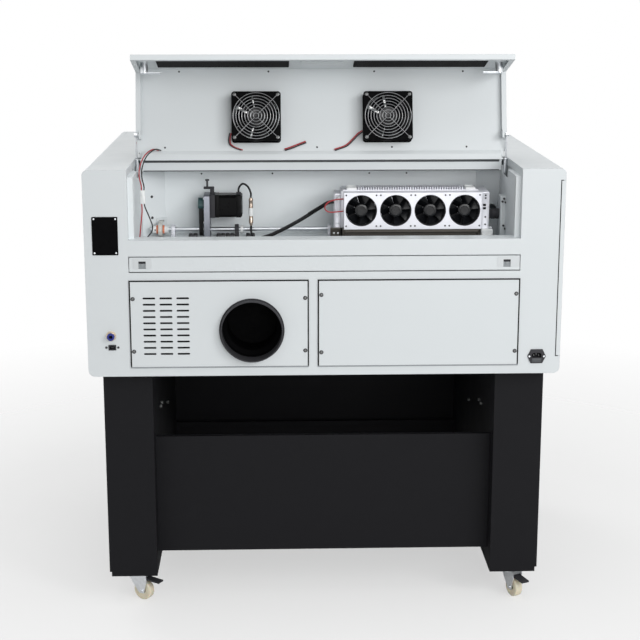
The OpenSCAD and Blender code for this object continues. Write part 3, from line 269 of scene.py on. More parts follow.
@dataclass(frozen=True)
class Finish:
    """Moulded plastic, and the base of every other finish."""

    name: str
    slot: str
    colour: Colour
    roughness: float = 0.45
    metallic: float = 0.0
    drift: float = 0.08
    drift_scale: float = 14.0
    grain_scale: float = 2200.0
    grain_depth: float = 0.00004
    edge: float = 0.0
    shine: float = 0.5
    wear: float = 0.15

    def material(self) -> bpy.types.Material:
        """The finish's material, made the first time it is asked for."""
        return bpy.data.materials.get(self.name) or self.paint(Graph(self.name))

    def paint(self, graph: Graph) -> bpy.types.Material:
        """Wires the finish up.

        Args:
            graph: A fresh graph.

        Returns:
            Its material.
        """
        graph.put("Metallic", self.metallic)
        graph.put("Specular IOR Level", self.shine)
        cloud = graph.noise(self.drift_scale, 4.0)
        graph.put("Base Color", graph.mix(cloud, scaled(self.colour, 1 - self.drift),
                                          scaled(self.colour, 1 + self.drift)))
        handled = graph.noise(self.drift_scale * 6, 3.0)
        graph.put("Roughness", graph.span(handled, 0.3, 0.7, self.roughness * (1 - self.wear),
                                          self.roughness * (1 + self.wear)))
        edges = graph.soft_edges(self.edge) if self.edge else None
        graph.put("Normal", graph.bump(self.relief(graph), self.grain_depth, edges))
        return graph.material

    def relief(self, graph: Graph) -> bpy.types.NodeSocket:
        """Height of the surface's own grain."""
        return graph.noise(self.grain_scale, 2.0)


@dataclass(frozen=True)
class PowderCoat(Finish):
    """Baked powder coat with orange peel and a little settled dust."""

    roughness: float = 0.42
    drift: float = 0.018
    drift_scale: float = 3.0
    grain_scale: float = 620.0
    grain_depth: float = 0.00005
    edge: float = 0.0012

    def relief(self, graph: Graph) -> bpy.types.NodeSocket:
        """Orange peel with finer pits."""
        return graph.mix(graph.noise(self.grain_scale * 3.1, 1.0), (0.0, 0.0, 0.0),
                         graph.noise(self.grain_scale, 1.0))


@dataclass(frozen=True)
class BrushedMetal(Finish):
    """Metal with fine lines along one axis."""

    roughness: float = 0.32
    metallic: float = 1.0
    drift: float = 0.1
    grain_scale: float = 1.0
    grain_depth: float = 0.00003
    lines: Point = (18.0, 1400.0, 1400.0)
    edge: float = 0.0006

    def relief(self, graph: Graph) -> bpy.types.NodeSocket:
        """Lines of the brush."""
        return graph.noise(self.grain_scale, 2.0, graph.stretched(self.lines))


@dataclass(frozen=True)
class PlatedZinc(Finish):
    """Plated steel with cloudy crystals."""

    roughness: float = 0.34
    metallic: float = 1.0
    drift: float = 0.14
    drift_scale: float = 140.0
    grain_scale: float = 900.0
    edge: float = 0.0005


@dataclass(frozen=True)
class Rubber(Finish):
    """Matt rubber or dense foam with open pores."""

    roughness: float = 0.82
    drift: float = 0.25
    drift_scale: float = 60.0
    grain_scale: float = 1500.0
    grain_depth: float = 0.00012


@dataclass(frozen=True)
class Laminations(Finish):
    """Painted stack of thin plates."""

    roughness: float = 0.3
    grain_scale: float = 170.0
    grain_depth: float = 0.00015

    def relief(self, graph: Graph) -> bpy.types.NodeSocket:
        """Edges of the plates."""
        return graph.bands(self.grain_scale, "X")


@dataclass(frozen=True)
class TintedPane(Finish):
    """See-through tinted pane with wiped smears."""

    roughness: float = 0.05
    drift: float = 0.05

    def paint(self, graph: Graph) -> bpy.types.Material:
        """Wires the pane up."""
        super().paint(graph)
        graph.put("Transmission Weight", 0.94)
        graph.put("IOR", 1.49)
        return graph.material


@dataclass(frozen=True)
class Nylon(Finish):
    """Waxy cream nylon with scuffs."""

    roughness: float = 0.48
    drift: float = 0.12
    drift_scale: float = 55.0

    def paint(self, graph: Graph) -> bpy.types.Material:
        """Wires the nylon up with a little light inside."""
        super().paint(graph)
        graph.put("Subsurface Weight", 0.15)
        graph.put("Subsurface Scale", 0.004)
        return graph.material


CABINET_COAT = PowderCoat("cabinet_powder_coat", "powder_coat", tone(212, 217, 219))
TRAY_COAT = PowderCoat("tray_powder_coat", "powder_coat", tone(224, 229, 231))
STAND_COAT = PowderCoat("stand_powder_coat", "stand_coat", tone(18, 18, 21), roughness=0.6, drift=0.025,
                        shine=0.14, wear=0.03)
BRIGHT_STEEL = BrushedMetal("bright_steel", "steel", tone(196, 199, 203))
DARK_STEEL = PlatedZinc("dark_steel", "steel", tone(70, 70, 72), roughness=0.42)
SCREW_NICKEL = PlatedZinc("screw_nickel", "zinc", tone(118, 119, 118), roughness=0.36)
ZINC = PlatedZinc("plated_zinc", "zinc", tone(222, 225, 228))
CONNECTOR_SHELL = PlatedZinc("connector_shell", "zinc", tone(176, 160, 146), roughness=0.34, drift=0.1)
CHROME = PlatedZinc("chrome", "zinc", tone(224, 226, 229), roughness=0.14, drift=0.04)
ALLOY = BrushedMetal("silver_alloy", "alloy", tone(212, 213, 219), roughness=0.46, metallic=0.55, drift=0.04,
                     lines=(900.0, 900.0, 14.0))
RAIL_ALLOY = BrushedMetal("rail_alloy", "alloy", tone(176, 180, 184), lines=(900.0, 16.0, 900.0))
PLATE_ALLOY = BrushedMetal("plate_alloy", "alloy", tone(136, 139, 147), roughness=0.42,
                           lines=(900.0, 16.0, 900.0))
DARK_ALLOY = BrushedMetal("dark_base_alloy", "alloy", tone(62, 58, 52), roughness=0.45, metallic=0.4)
FITTING_NICKEL = BrushedMetal("fitting_nickel", "steel", tone(204, 190, 170), roughness=0.34)
BLACK_PLASTIC = Finish("black_plastic", "black_plastic", tone(10, 10, 11), roughness=0.5, edge=0.0006,
                       shine=0.09)
# Near-black; on the exhaust liner it paints the shade deep inside the duct.
DUCT_BLACK = Finish("duct_black", "black_plastic", tone(5, 5, 6), roughness=0.6, shine=0.04)
GLOSS_BLACK = Finish("gloss_black_plastic", "black_plastic", tone(17, 18, 21), roughness=0.24, shine=0.36)
MOTOR_PAINT = Finish("motor_paint", "black_plastic", tone(9, 9, 10), roughness=0.34, edge=0.001, shine=0.1)
MOTOR_STACK = Laminations("motor_stack", "black_plastic", tone(8, 8, 9), shine=0.09)
WHITE_PLASTIC = Finish("white_plastic", "cream_plastic", tone(228, 230, 230), drift=0.03)
CREAM_NYLON = Nylon("cream_nylon", "cream_plastic", tone(222, 214, 190))
RUBBER = Rubber("black_rubber", "rubber", tone(18, 18, 19), shine=0.14)
BELT_RUBBER = Rubber("belt_rubber", "rubber", tone(24, 25, 26), roughness=0.55, shine=0.2)
TEAL_GUARD = Finish("teal_guard", "black_plastic", tone(24, 66, 68), roughness=0.4)
STOP_RED = Finish("stop_red", "red_plastic", tone(178, 32, 28), roughness=0.3, drift=0.06)
STOP_YELLOW = Finish("stop_yellow", "red_plastic", tone(222, 176, 40), roughness=0.4, drift=0.05)
BLUE_COLLAR = Finish("blue_collar", "black_plastic", tone(28, 38, 122), roughness=0.35)
SCREEN = Finish("screen_glass", "black_plastic", tone(18, 24, 30), roughness=0.1, grain_depth=0.000004)
WINDOW = TintedPane("tinted_window", "window", tone(168, 175, 178))
LATCH_WHITE = Finish("latch_white", "cream_plastic", tone(205, 209, 211), roughness=0.5, drift=0.03)
LATCH_GREY = Finish("latch_grey", "black_plastic", tone(142, 147, 150), roughness=0.5, drift=0.04)
KEY_GREY = Finish("key_grey", "black_plastic", tone(64, 67, 70), roughness=0.5)
GUARD_WIRE = PlatedZinc("guard_wire", "steel", tone(152, 153, 155), roughness=0.3, drift=0.08)
WHITE_BELT = Rubber("white_belt", "rubber", tone(206, 206, 200), roughness=0.5, drift=0.06)
ORANGE_RUBBER = Rubber("orange_rubber", "rubber", tone(222, 128, 92), roughness=0.5, drift=0.06)
RED_LEAD = Finish("red_lead", "wire", tone(168, 46, 52), roughness=0.42, drift_scale=80.0)
BLACK_LEAD = Finish("black_lead", "wire", tone(28, 27, 29), roughness=0.4, drift_scale=80.0)
BLACK_CABLE = Finish("black_cable", "wire", tone(18, 18, 20), roughness=0.36, drift_scale=60.0, shine=0.25)


class Blank:
    """A piece on the bench, in mm, shaped with Blender's own operators."""

    def __init__(self, obj: bpy.types.Object) -> None:
        """Takes a mesh object as it is."""
        self.obj = obj
        self.bands: list[Finish] = []

    @staticmethod
    def clear() -> None:
        """Leaves edit mode and picks nothing."""
        if bpy.context.object and bpy.context.object.mode != "OBJECT":
            bpy.ops.object.mode_set(mode="OBJECT")
        bpy.ops.object.select_all(action="DESELECT")

    @classmethod
    def taken(cls, name: str) -> "Blank":
        """Takes the primitive that was just added and puts its place into its mesh."""
        obj = bpy.context.object
        obj.name = obj.data.name = name
        bpy.ops.object.transform_apply(location=True, rotation=True, scale=True)
        return cls(obj)

    @classmethod
    def block(cls, name: str, x: Span, y: Span, z: Span) -> "Blank":
        """Starts from a cube between two values on each axis."""
        cls.clear()
        low, high = Vector((x[0], y[0], z[0])), Vector((x[1], y[1], z[1]))
        bpy.ops.mesh.primitive_cube_add(size=1, location=(low + high) / 2)
        bpy.context.object.scale = high - low
        return cls.taken(name)

    @classmethod
    def rod(cls, name: str, radius: float, length: float, place: Matrix, sides: int = 32) -> "Blank":
        """Starts from a cylinder that stands on the origin, then moves it to its place."""
        cls.clear()
        bpy.ops.mesh.primitive_cylinder_add(vertices=sides, radius=radius, depth=length,
                                            location=(0, 0, length / 2))
        return cls.taken(name).moved(place)

    @classmethod
    def turned(cls, name: str, profile: Sequence[Span], place: Matrix | None = None,
               steps: int = 40) -> "Blank":
        """Draws a profile and spins it about the upright axis.

        Args:
            name: Name of the piece.
            profile: Radius and height of each corner in order.
            place: Where the piece goes.
            steps: Steps of the spin.

        Returns:
            The turned piece.
        """
        blank = cls.drawn(name, [(radius, 0, height) for radius, height in profile])
        bpy.ops.mesh.spin(steps=steps, angle=math.tau, center=(0, 0, 0), axis=(0, 0, 1))
        return blank.heal().moved(place)

    @classmethod
    def prism(cls, name: str, outline: Sequence[Span], depth: float, place: Matrix | None = None) -> "Blank":
        """Draws a flat outline, fills it and pulls it up.

        Args:
            name: Name of the piece.
            outline: Its corners in order.
            depth: How far it is pulled up.
            place: Where the piece goes.

        Returns:
            The prism.
        """
        blank = cls.drawn(name, [(x, y, 0) for x, y in outline])
        bpy.ops.mesh.remove_doubles(threshold=WELD_MM)
        bpy.ops.mesh.edge_face_add()
        cls.pull(Vector((0, 0, depth)))
        return blank.heal().moved(place)

    @classmethod
    def drawn(cls, name: str, knots: Sequence[Point]) -> "Blank":
        """Draws edges from corner to corner by extruding one point, and leaves them picked."""
        path = [Vector(knot) for knot in knots]
        blank = cls.point(name, path[0])
        for here, there in zip(path, path[1:]):
            cls.pull(there - here)
        bpy.ops.mesh.select_all(action="SELECT")
        return blank

    @classmethod
    def point(cls, name: str, at: Vector) -> "Blank":
        """Starts from one point, left picked in edit mode."""
        cls.clear()
        bpy.ops.mesh.primitive_plane_add(size=1, location=(0, 0, 0))
        blank = cls.taken(name)
        blank.open("VERT")
        bpy.ops.mesh.select_all(action="SELECT")
        bpy.ops.mesh.merge(type="CENTER")
        bpy.ops.transform.translate(value=at)
        return blank

    @staticmethod
    def pull(by: Vector) -> None:
        """Extrudes what is picked."""
        bpy.ops.mesh.extrude_region_move(TRANSFORM_OT_translate={"value": by})

    def pick(self) -> None:
        """Makes this the one piece that is picked."""
        Blank.clear()
        self.obj.select_set(True)
        bpy.context.view_layer.objects.active = self.obj

    def moved(self, place: Matrix | None) -> "Blank":
        """Moves the mesh to its place, if it has one."""
        if place is not None:
            self.obj.data.transform(place)
        return self

    def open(self, mode: str) -> None:
        """Opens the piece alone in edit mode with nothing picked."""
        self.pick()
        bpy.ops.object.mode_set(mode="EDIT")
        bpy.ops.mesh.select_mode(type=mode)
        bpy.ops.mesh.select_all(action="DESELECT")

    def close(self) -> "Blank":
        """Leaves edit mode."""
        bpy.ops.object.mode_set(mode="OBJECT")
        return self

    def heal(self) -> "Blank":
        """Merges doubled points and turns every face outwards."""
        self.open("VERT")
        bpy.ops.mesh.select_all(action="SELECT")
        bpy.ops.mesh.remove_doubles(threshold=WELD_MM)
        bpy.ops.mesh.normals_make_consistent(inside=False)
        return self.close()

    def pick_faces(self, test: Test) -> "Blank":
        """Opens the piece with the faces picked whose centre and normal pass a test."""
        self.open("FACE")
        self.close()
        for face in self.obj.data.polygons:
            face.select = test(face.center, face.normal)
        bpy.ops.object.mode_set(mode="EDIT")
        return self

    def pick_edges(self, test: Test) -> "Blank":
        """Opens the piece with the edges picked whose middle and direction pass a test."""
        self.open("EDGE")
        self.close()
        points = self.obj.data.vertices
        for edge in self.obj.data.edges:
            first, second = (points[i].co for i in edge.vertices)
            edge.select = test((first + second) / 2, (second - first).normalized())
        bpy.ops.object.mode_set(mode="EDIT")
        return self

    def rounded(self, width: float, segments: int = 2, test: Test = lambda middle, along: True) -> "Blank":
        """Bevels the edges that pass a test."""
        self.pick_edges(test)
        bpy.ops.mesh.bevel(offset=width, segments=segments, affect="EDGES")
        return self.close()

    def stepped(self, test: Test, inset: float, depth: float) -> "Blank":
        """Insets the faces that pass a test and pushes them in or out."""
        self.pick_faces(test)
        bpy.ops.mesh.inset(thickness=inset, depth=0.0, use_even_offset=True)
        bpy.ops.mesh.extrude_region_shrink_fatten(TRANSFORM_OT_shrink_fatten={"value": depth})
        return self.close()

    def cut(self, *cutters: "Blank") -> "Blank":
        """Cuts other pieces out of this one and uses them up."""
        for cutter in cutters:
            self.fused(cutter, "DIFFERENCE")
        return self

    def fused(self, other: "Blank", operation: str = "UNION") -> "Blank":
        """Joins another piece to this one, or cuts it out, and uses it up."""
        step = self.obj.modifiers.new("step", "BOOLEAN")
        step.operation, step.solver, step.object = operation, "EXACT", other.obj
        self.apply(step)
        other.drop()
        return self

    def apply(self, step: bpy.types.Modifier) -> "Blank":
        """Applies one modifier."""
        self.pick()
        bpy.ops.object.modifier_apply(modifier=step.name)
        return self

    def drop(self) -> None:
        """Takes the piece off the bench."""
        bpy.data.objects.remove(self.obj)

    def copy(self, name: str, place: Matrix | None = None) -> "Blank":
        """A copy with its own mesh at another place."""
        obj = self.obj.copy()
        obj.data = self.obj.data.copy()
        obj.name = obj.data.name = name
        bpy.context.scene.collection.objects.link(obj)
        twin = Blank(obj)
        twin.bands = list(self.bands)
        return twin.moved(place)

    def joined(self, others: Iterable["Blank"]) -> "Blank":
        """Joins other pieces into this one as they are."""
        self.pick()
        for other in others:
            other.obj.select_set(True)
        bpy.ops.object.join()
        return self

    def scattered(self, name: str, places: Sequence[Matrix]) -> "Blank":
        """Copies the piece to every place as one piece and uses the pattern up."""
        copies = [self.copy(f"{name}_{i}", place) for i, place in enumerate(places)]
        self.drop()
        copies[0].joined(copies[1:])
        copies[0].obj.name = copies[0].obj.data.name = name
        return copies[0]

    def banded(self, finish: Finish, test: Test) -> "Blank":
        """Gives the faces that pass a test a second finish."""
        self.bands.append(finish)
        while len(self.obj.data.materials) <= len(self.bands):
            self.obj.data.materials.append(None)
        for face in self.obj.data.polygons:
            if test(face.center, face.normal):
                face.material_index = len(self.bands)
        return self

    def mount(self, finish: Finish, *stands_for: str, body: str = "frame",
              station: Station = Station.MACHINE) -> bpy.types.Object:
        """Puts the piece into the frame, dresses it and lets it ride on a body.

        Args:
            finish: Its finish.
            stands_for: CAD nodes that it replaces.
            body: The body that carries it.
            station: How it was drawn.

        Returns:
            The mounted object.
        """
        self.pick()
        obj = self.obj
        obj.data.transform(to_frame(station))
        bpy.ops.object.shade_smooth_by_angle(angle=math.radians(SMOOTH_DEG))
        shades = [f.material_index for f in obj.data.polygons]
        obj.data.materials.clear()
        for coat in (finish, *self.bands):
            obj.data.materials.append(coat.material())
        obj.data.polygons.foreach_set("material_index", shades)
        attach(obj, body)
        if stands_for:
            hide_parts(*stands_for)
        LOG.info("%s rides on %s", obj.name, body)
        return obj


def upright(middle: Vector, along: Vector) -> bool:
    """Whether an edge runs up and down."""
    return abs(along.z) > FLAT


def lengthwise(middle: Vector, along: Vector) -> bool:
    """Whether an edge runs from rear to front."""
    return abs(along.y) > FLAT


def crosswise(middle: Vector, along: Vector) -> bool:
    """Whether an edge runs from left to right."""
    return abs(along.x) > FLAT


def level(middle: Vector, along: Vector) -> bool:
    """Whether an edge runs level."""
    return abs(along.z) < LEVEL


def looks(facing: Facing) -> Test:
    """Test for the faces that look one way."""
    way = Vector(facing.value)
    return lambda centre, normal: normal.dot(way) > FLAT


def corners(half_x: float, half_y: float) -> list[Span]:
    """The four corners of a rectangle about the origin."""
    return [(sx * half_x, sy * half_y) for sx in (-1, 1) for sy in (-1, 1)]


def pan_head(radius: float, height: float) -> Blank:
    """Pan head with a cross recess, standing on the origin.

    Args:
        radius: Radius of the head.
        height: Height of the head.

    Returns:
        The head, ready to be copied.
    """
    head = Blank.turned("pan_head", [(0, height), (0.5 * radius, 0.97 * height),
                                     (0.82 * radius, 0.75 * height), (0.97 * radius, 0.35 * height),
                                     (radius, 0), (0, 0)], steps=18)
    slot_len, slot_w, floor = 0.62 * radius, 0.14 * radius, (0.45 * height, 1.5 * height)
    return head.cut(Blank.block("slot_a", (-slot_len, slot_len), (-slot_w, slot_w), floor),
                    Blank.block("slot_b", (-slot_w, slot_w), (-slot_len, slot_len), floor))


def hex_bolt(radius: float, height: float) -> Blank:
    """Hexagon head on a washer, standing on the origin.

    Args:
        radius: Corner radius of the head.
        height: Height with the washer.

    Returns:
        The bolt, ready to be copied.
    """
    washer = 0.22 * height
    bolt = Blank.rod("hex_bolt", radius, height, Matrix.Identity(4), sides=6)
    bolt.rounded(0.1 * radius, 2, level)
    ring = Blank.turned("washer", [(0, 0), (1.16 * radius, 0), (1.16 * radius, washer * 0.8),
                                   (1.1 * radius, washer), (0, washer)], steps=28)
    return bolt.joined([ring])


def screws(name: str, size: Span, places: Sequence[Matrix], finish: Finish, *stands_for: str,
           body: str = "frame", station: Station = Station.MACHINE) -> None:
    """Drives pan-head screws of one size as one piece.

    Args:
        name: Name of the piece.
        size: Radius and height of a head.
        places: Where the heads sit.
        finish: Their finish.
        stands_for: CAD nodes that they replace.
        body: The body that carries them.
        station: How they were drawn.
    """
    pan_head(*size).scattered(name, places).mount(finish, *stands_for, body=body, station=station)


@dataclass
class Studio:
    """Camera at the photograph's place, soft lamps and a pale floor that fades to white."""

    camera_at: Point = (-0.121, -3.826, 1.5185)
    pitch_deg: float = 12.95
    yaw_deg: float = 1.85
    lens_mm: float = 82.41
    sensor_mm: float = 36.0
    ambient: float = 0.34
    floor_half: float = 6.0
    fade: Span = (1.1, 2.6)
    floor_seen: float = 0.45

    def build(self) -> None:
        """Sets the whole studio up."""
        bpy.context.scene.view_settings.view_transform = "Standard"
        self.camera()
        self.world()
        target = Vector((0.0, 0.0, 0.8))
        self.lamp("key_softbox", (2.5, -3.2, 2.6), 1.4, 50.0, target)
        self.lamp("fill_softbox", (-2.8, -4.4, 2.2), 2.4, 6.0, target)
        self.lamp("camera_softbox", (1.1, -5.0, 1.9), 2.4, 88.0, Vector((0.0, 0.0, 1.1)))
        self.lamp("top_softbox", (0.3, -0.6, 4.4), 3.0, 44.0, target)
        self.lamp("front_softbox", (-3.4, 4.0, 3.0), 2.6, 80.0, target)
        self.floor()

    def camera(self) -> None:
        """Places the camera."""
        data = bpy.data.cameras.new("photo_camera")
        data.lens, data.sensor_width = self.lens_mm, self.sensor_mm
        camera = bpy.data.objects.new("photo_camera", data)
        bpy.context.scene.collection.objects.link(camera)
        camera.location = self.camera_at
        camera.rotation_euler = (math.radians(90 - self.pitch_deg), 0.0, math.radians(-self.yaw_deg))
        bpy.context.scene.camera = camera

    def world(self) -> None:
        """White to the camera and to reflections, plain ambient light to everything else."""
        world = bpy.data.worlds.new("white_cove")
        bpy.context.scene.world = world
        world.use_nodes = True
        tree = world.node_tree
        tree.nodes.clear()
        output, mix, rays = (tree.nodes.new(kind) for kind in (
            "ShaderNodeOutputWorld", "ShaderNodeMixShader", "ShaderNodeLightPath"))
        seen = rays.outputs["Is Camera Ray"]
        for name in ("Is Glossy Ray", "Is Transmission Ray"):
            either = tree.nodes.new("ShaderNodeMath")
            either.operation = "MAXIMUM"
            tree.links.new(seen, either.inputs[0])
            tree.links.new(rays.outputs[name], either.inputs[1])
            seen = either.outputs[0]
        tree.links.new(seen, mix.inputs[0])
        for index, strength in ((1, self.ambient), (2, 1.0)):
            light = tree.nodes.new("ShaderNodeBackground")
            light.inputs["Color"].default_value = (1.0, 1.0, 1.0, 1.0)
            light.inputs["Strength"].default_value = strength
            tree.links.new(light.outputs[0], mix.inputs[index])
        tree.links.new(mix.outputs[0], output.inputs["Surface"])

    def lamp(self, name: str, place: Point, size: float, watts: float, target: Vector) -> None:
        """Hangs one square softbox that looks at a target."""
        data = bpy.data.lights.new(name, "AREA")
        data.energy, data.size = watts, size
        lamp = bpy.data.objects.new(name, data)
        bpy.context.scene.collection.objects.link(lamp)
        lamp.location = place
        lamp.rotation_mode = "QUATERNION"
        lamp.rotation_quaternion = (target - Vector(place)).to_track_quat("-Z", "Y")

    def floor(self) -> None:
        """Lays a pale floor that keeps the shadow near the object and fades out around it."""
        Blank.clear()
        bpy.ops.mesh.primitive_plane_add(size=2 * self.floor_half, location=(0, 0, 0))
        plane = Blank.taken("studio_floor").obj
        graph = Graph("pale_floor")
        graph.put("Roughness", 0.9)
        graph.put("Specular IOR Level", 0.1)
        graph.put("Base Color", graph.mix(graph.noise(3.0), (0.9, 0.9, 0.9), (0.92, 0.92, 0.92)))
        reach = graph.node("ShaderNodeVectorMath")
        reach.operation = "LENGTH"
        graph.feed(reach.inputs[0], graph.place)
        rays, share = graph.node("ShaderNodeLightPath"), graph.node("ShaderNodeMath")
        share.operation = "MULTIPLY"
        graph.feed(share.inputs[0], graph.span(reach.outputs["Value"], *self.fade, 1.0, 0.0))
        graph.feed(share.inputs[1], graph.span(rays.outputs["Is Camera Ray"], 0.0, 1.0, 1.0, self.floor_seen))
        graph.put("Alpha", share.outputs[0])
        plane.data.materials.append(graph.material)


@dataclass(frozen=True)
class Lead:
    """One lead: its route in mm, its thickness and what it joins."""

    name: str
    route: tuple[Point, ...]
    radius: float
    finish: Finish
    far_end: FarEnd = FarEnd.INTO_MACHINE
    body: str = "frame"
    station: Station = Station.MACHINE
    stiffness: str = "medium"
    crosses_hinge: bool = False

    def shifted(self, name: str, by: Point, finish: Finish) -> "Lead":
        """The same lead beside itself in another colour."""
        route = tuple(tuple(a + b for a, b in zip(p, by)) for p in self.route)
        return replace(self, name=name, route=route, finish=finish)

    def line(self, count: int = 30, fineness: int = 24) -> list[Vector]:
        """Even points on a smooth curve through the route.

        Args:
            count: How many points.
            fineness: Steps of the curve between two knots.

        Returns:
            The points, in mm.
        """
        knots = [Vector(p) for p in self.route]
        knots = [2 * knots[0] - knots[1], *knots, 2 * knots[-1] - knots[-2]]
        fine: list[Vector] = []
        for a, b, c, d in zip(knots, knots[1:], knots[2:], knots[3:]):
            for step in range(fineness):
                t = step / fineness
                fine.append(0.5 * (2 * b + (c - a) * t + (2 * a - 5 * b + 4 * c - d) * t * t
                                   + (3 * b - a - 3 * c + d) * t ** 3))
        fine.append(knots[-2])
        reach = [0.0]
        for a, b in zip(fine, fine[1:]):
            reach.append(reach[-1] + (b - a).length)
        points, index = [], 0
        for step in range(count):
            goal = reach[-1] * step / (count - 1)
            while index < len(reach) - 2 and reach[index + 1] < goal:
                index += 1
            share = (goal - reach[index]) / (reach[index + 1] - reach[index])
            points.append(fine[index].lerp(fine[index + 1], min(1.0, share)))
        return points

    def tube(self) -> tuple[Blank, list[Vector]]:
        """Draws the lead as a round tube.

        Returns:
            The tube on the bench and the points down its middle, in the frame.
        """
        points = self.line()
        data = bpy.data.curves.new(self.name, "CURVE")
        data.dimensions, data.bevel_depth, data.bevel_resolution = "3D", self.radius, 4
        data.use_fill_caps = True
        spline = data.splines.new("POLY")
        spline.points.add(len(points) - 1)
        for knot, point in zip(spline.points, points):
            knot.co = (*point, 1.0)
        obj = bpy.data.objects.new(self.name, data)
        bpy.context.scene.collection.objects.link(obj)
        Blank(obj).pick()
        bpy.ops.object.convert(target="MESH")
        tube = Blank(bpy.context.object)
        tube.obj.name = tube.obj.data.name = self.name
        mount = to_frame(self.station)
        return tube.heal(), [mount @ p for p in points]


@dataclass
class Loom:
    """Every lead and cable of the laser compartment and the rear lid, with their connectors."""

    lead_r: float = 1.5
    motor_r: float = 2.5
    laser_r: float = 4.0
    bundle_r: float = 1.6
    cable_gap: float = 8.6
    connector: Point = (-176.0, 244.0, 931.0)
    plug_low: Point = (-433.0, 66.0, 1012.0)

    def build(self) -> None:
        """Draws the connectors, then every lead."""
        barrel = self.motor_connector()
        plug = self.white_plug()
        sleeves = self.shrink_sleeves()
        self.grommets()
        for lead in self.frame_leads():
            self.lay(lead, "compartment_wires")
        for lead in (*self.lid_leads(), *self.hinge_leads()):
            self.lay(lead, "lid_wires")

    def lay(self, lead: Lead, node: str) -> None:
        """Draws a lead and mounts it on its body; a lead that crosses the hinge rides on no body.

        Args:
            lead: The lead.
            node: CAD node that it stands for.
        """
        tube, path = lead.tube()
        obj = tube.mount(lead.finish, node, body=lead.body, station=lead.station)
        if lead.crosses_hinge:
            obj.parent = None
            del obj["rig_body"]
            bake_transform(obj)

    def frame_leads(self) -> list[Lead]:
        """Leads that stay on the standing machine."""
        x, y, _ = self.connector
        laser = Lead("laser_cable_a", ((-158, 200, 904.5), (-120, 196, 918), (-60, 190, 950), (-10, 186, 982),
                                       (12, 184, 996), (27, 184, 999)), self.laser_r, BLACK_CABLE)
        return [
            Lead("motor_lead", ((*MOTOR_LEAD_AT, 1008.9), (*MOTOR_LEAD_AT, 1022), (-200, 249, 1032),
                                (-192, 248, 1034), (-182, 246, 1026), (x, y, 1012), (x, y, 1000.5)),
                 self.motor_r, BLACK_CABLE, FarEnd.CONNECTOR),
            Lead("motor_tail", ((-168, 228, 902.8), (-174, 240, 909), (x, y, 918), (x, y, 930.5)),
                 self.motor_r, BLACK_CABLE),
            laser,
            laser.shifted("laser_cable_b", (0, -self.cable_gap, 0), BLACK_CABLE),
            Lead("laser_lead", ((49.4, 148, 1010), (30, 148, 1008), (12, 146, 1002), (4, 146, 988),
                                (16, 148, 978), (49.4, 148, 980)),
                 self.lead_r, RED_LEAD, stiffness="limp"),
            Lead("left_lead_red", ((-438, 78, 900.5), (-438, 78, 924), (-435, 74, 950), (-430, 70, 992),
                                   (-430, 70, 1011.5)),
                 self.lead_r, RED_LEAD, FarEnd.PLUG, stiffness="limp"),
            Lead("left_lead_black", ((-431, 80, 900.5), (-430, 80, 916), (-420, 80, 930), (-409, 80, 944),
                                     (-407, 79, 958), (-413, 75, 978), (-422, 71, 1002), (-424, 70, 1011.5)),
                 self.lead_r, BLACK_LEAD, FarEnd.PLUG, stiffness="limp")]

    def lid_leads(self) -> list[Lead]:
        """Leads that ride on the rear lid."""
        on_lid = {"body": "rear_lid", "station": Station.SHUT_LID, "stiffness": "limp"}
        left = Lead("left_fan_lead_red", ((-222, 162, 1088), (-225, 178, 1092), (-222, 190, 1094),
                                          (-209, 198, 1095), (-194, 203, 1095)),
                    self.lead_r, RED_LEAD, **on_lid)
        right = Lead("right_fan_lead_red", ((99, 157, 1088), (88, 164, 1092), (74, 178, 1094),
                                            (58, 192, 1095), (30, 202, 1095)),
                     self.lead_r, RED_LEAD, **on_lid)
        bundle = Lead("fan_bundle_red", ((-92, 201, 1095), (-76, 196, 1094), (-58, 189, 1094),
                                         (-40, 182, 1095)),
                      self.bundle_r, RED_LEAD, **on_lid)
        return [left, left.shifted("left_fan_lead_black", (-3.4, 0, 0), BLACK_LEAD),
                right, right.shifted("right_fan_lead_black", (2.4, 2.4, 0), BLACK_LEAD),
                bundle, bundle.shifted("fan_bundle_black", (1.6, 3.2, 0), BLACK_LEAD)]

    def hinge_leads(self) -> list[Lead]:
        """The two leads that cross the lid's hinge to the white plug."""
        red = Lead("hinge_lead_red", ((-400, 226.8, 1120), (-412, 203, 1125), (-428, 174, 1115),
                                      (-437, 140, 1096), (-438, 108, 1074), (-430, 70, 1054),
                                      (-430, 70, 1044.5)),
                   self.lead_r, RED_LEAD, FarEnd.PLUG, stiffness="limp", crosses_hinge=True)
        return [red, red.shifted("hinge_lead_black", (6, 0, 0), BLACK_LEAD)]

    def motor_connector(self) -> bpy.types.Object:
        """Round plated connector with a knurled nut and a white middle band."""
        x, y, z = self.connector
        profile = [(0, 0), (3.4, 0), (3.9, 5), (5.4, 6), (5.4, 15), (4.8, 16), (4.8, 23), (6, 24), (6, 27),
                   (6, 41), (6, 44), (5.2, 45), (5.2, 51), (4.8, 52), (4.8, 60), (5.4, 61), (5.4, 65),
                   (3.6, 69), (0, 69)]
        barrel = Blank.turned("motor_connector", profile, spot(x, y, z), steps=32)
        barrel.banded(WHITE_PLASTIC, lambda centre, normal: 24 < centre.z - z < 44)
        return barrel.mount(CONNECTOR_SHELL, "compartment_wires")

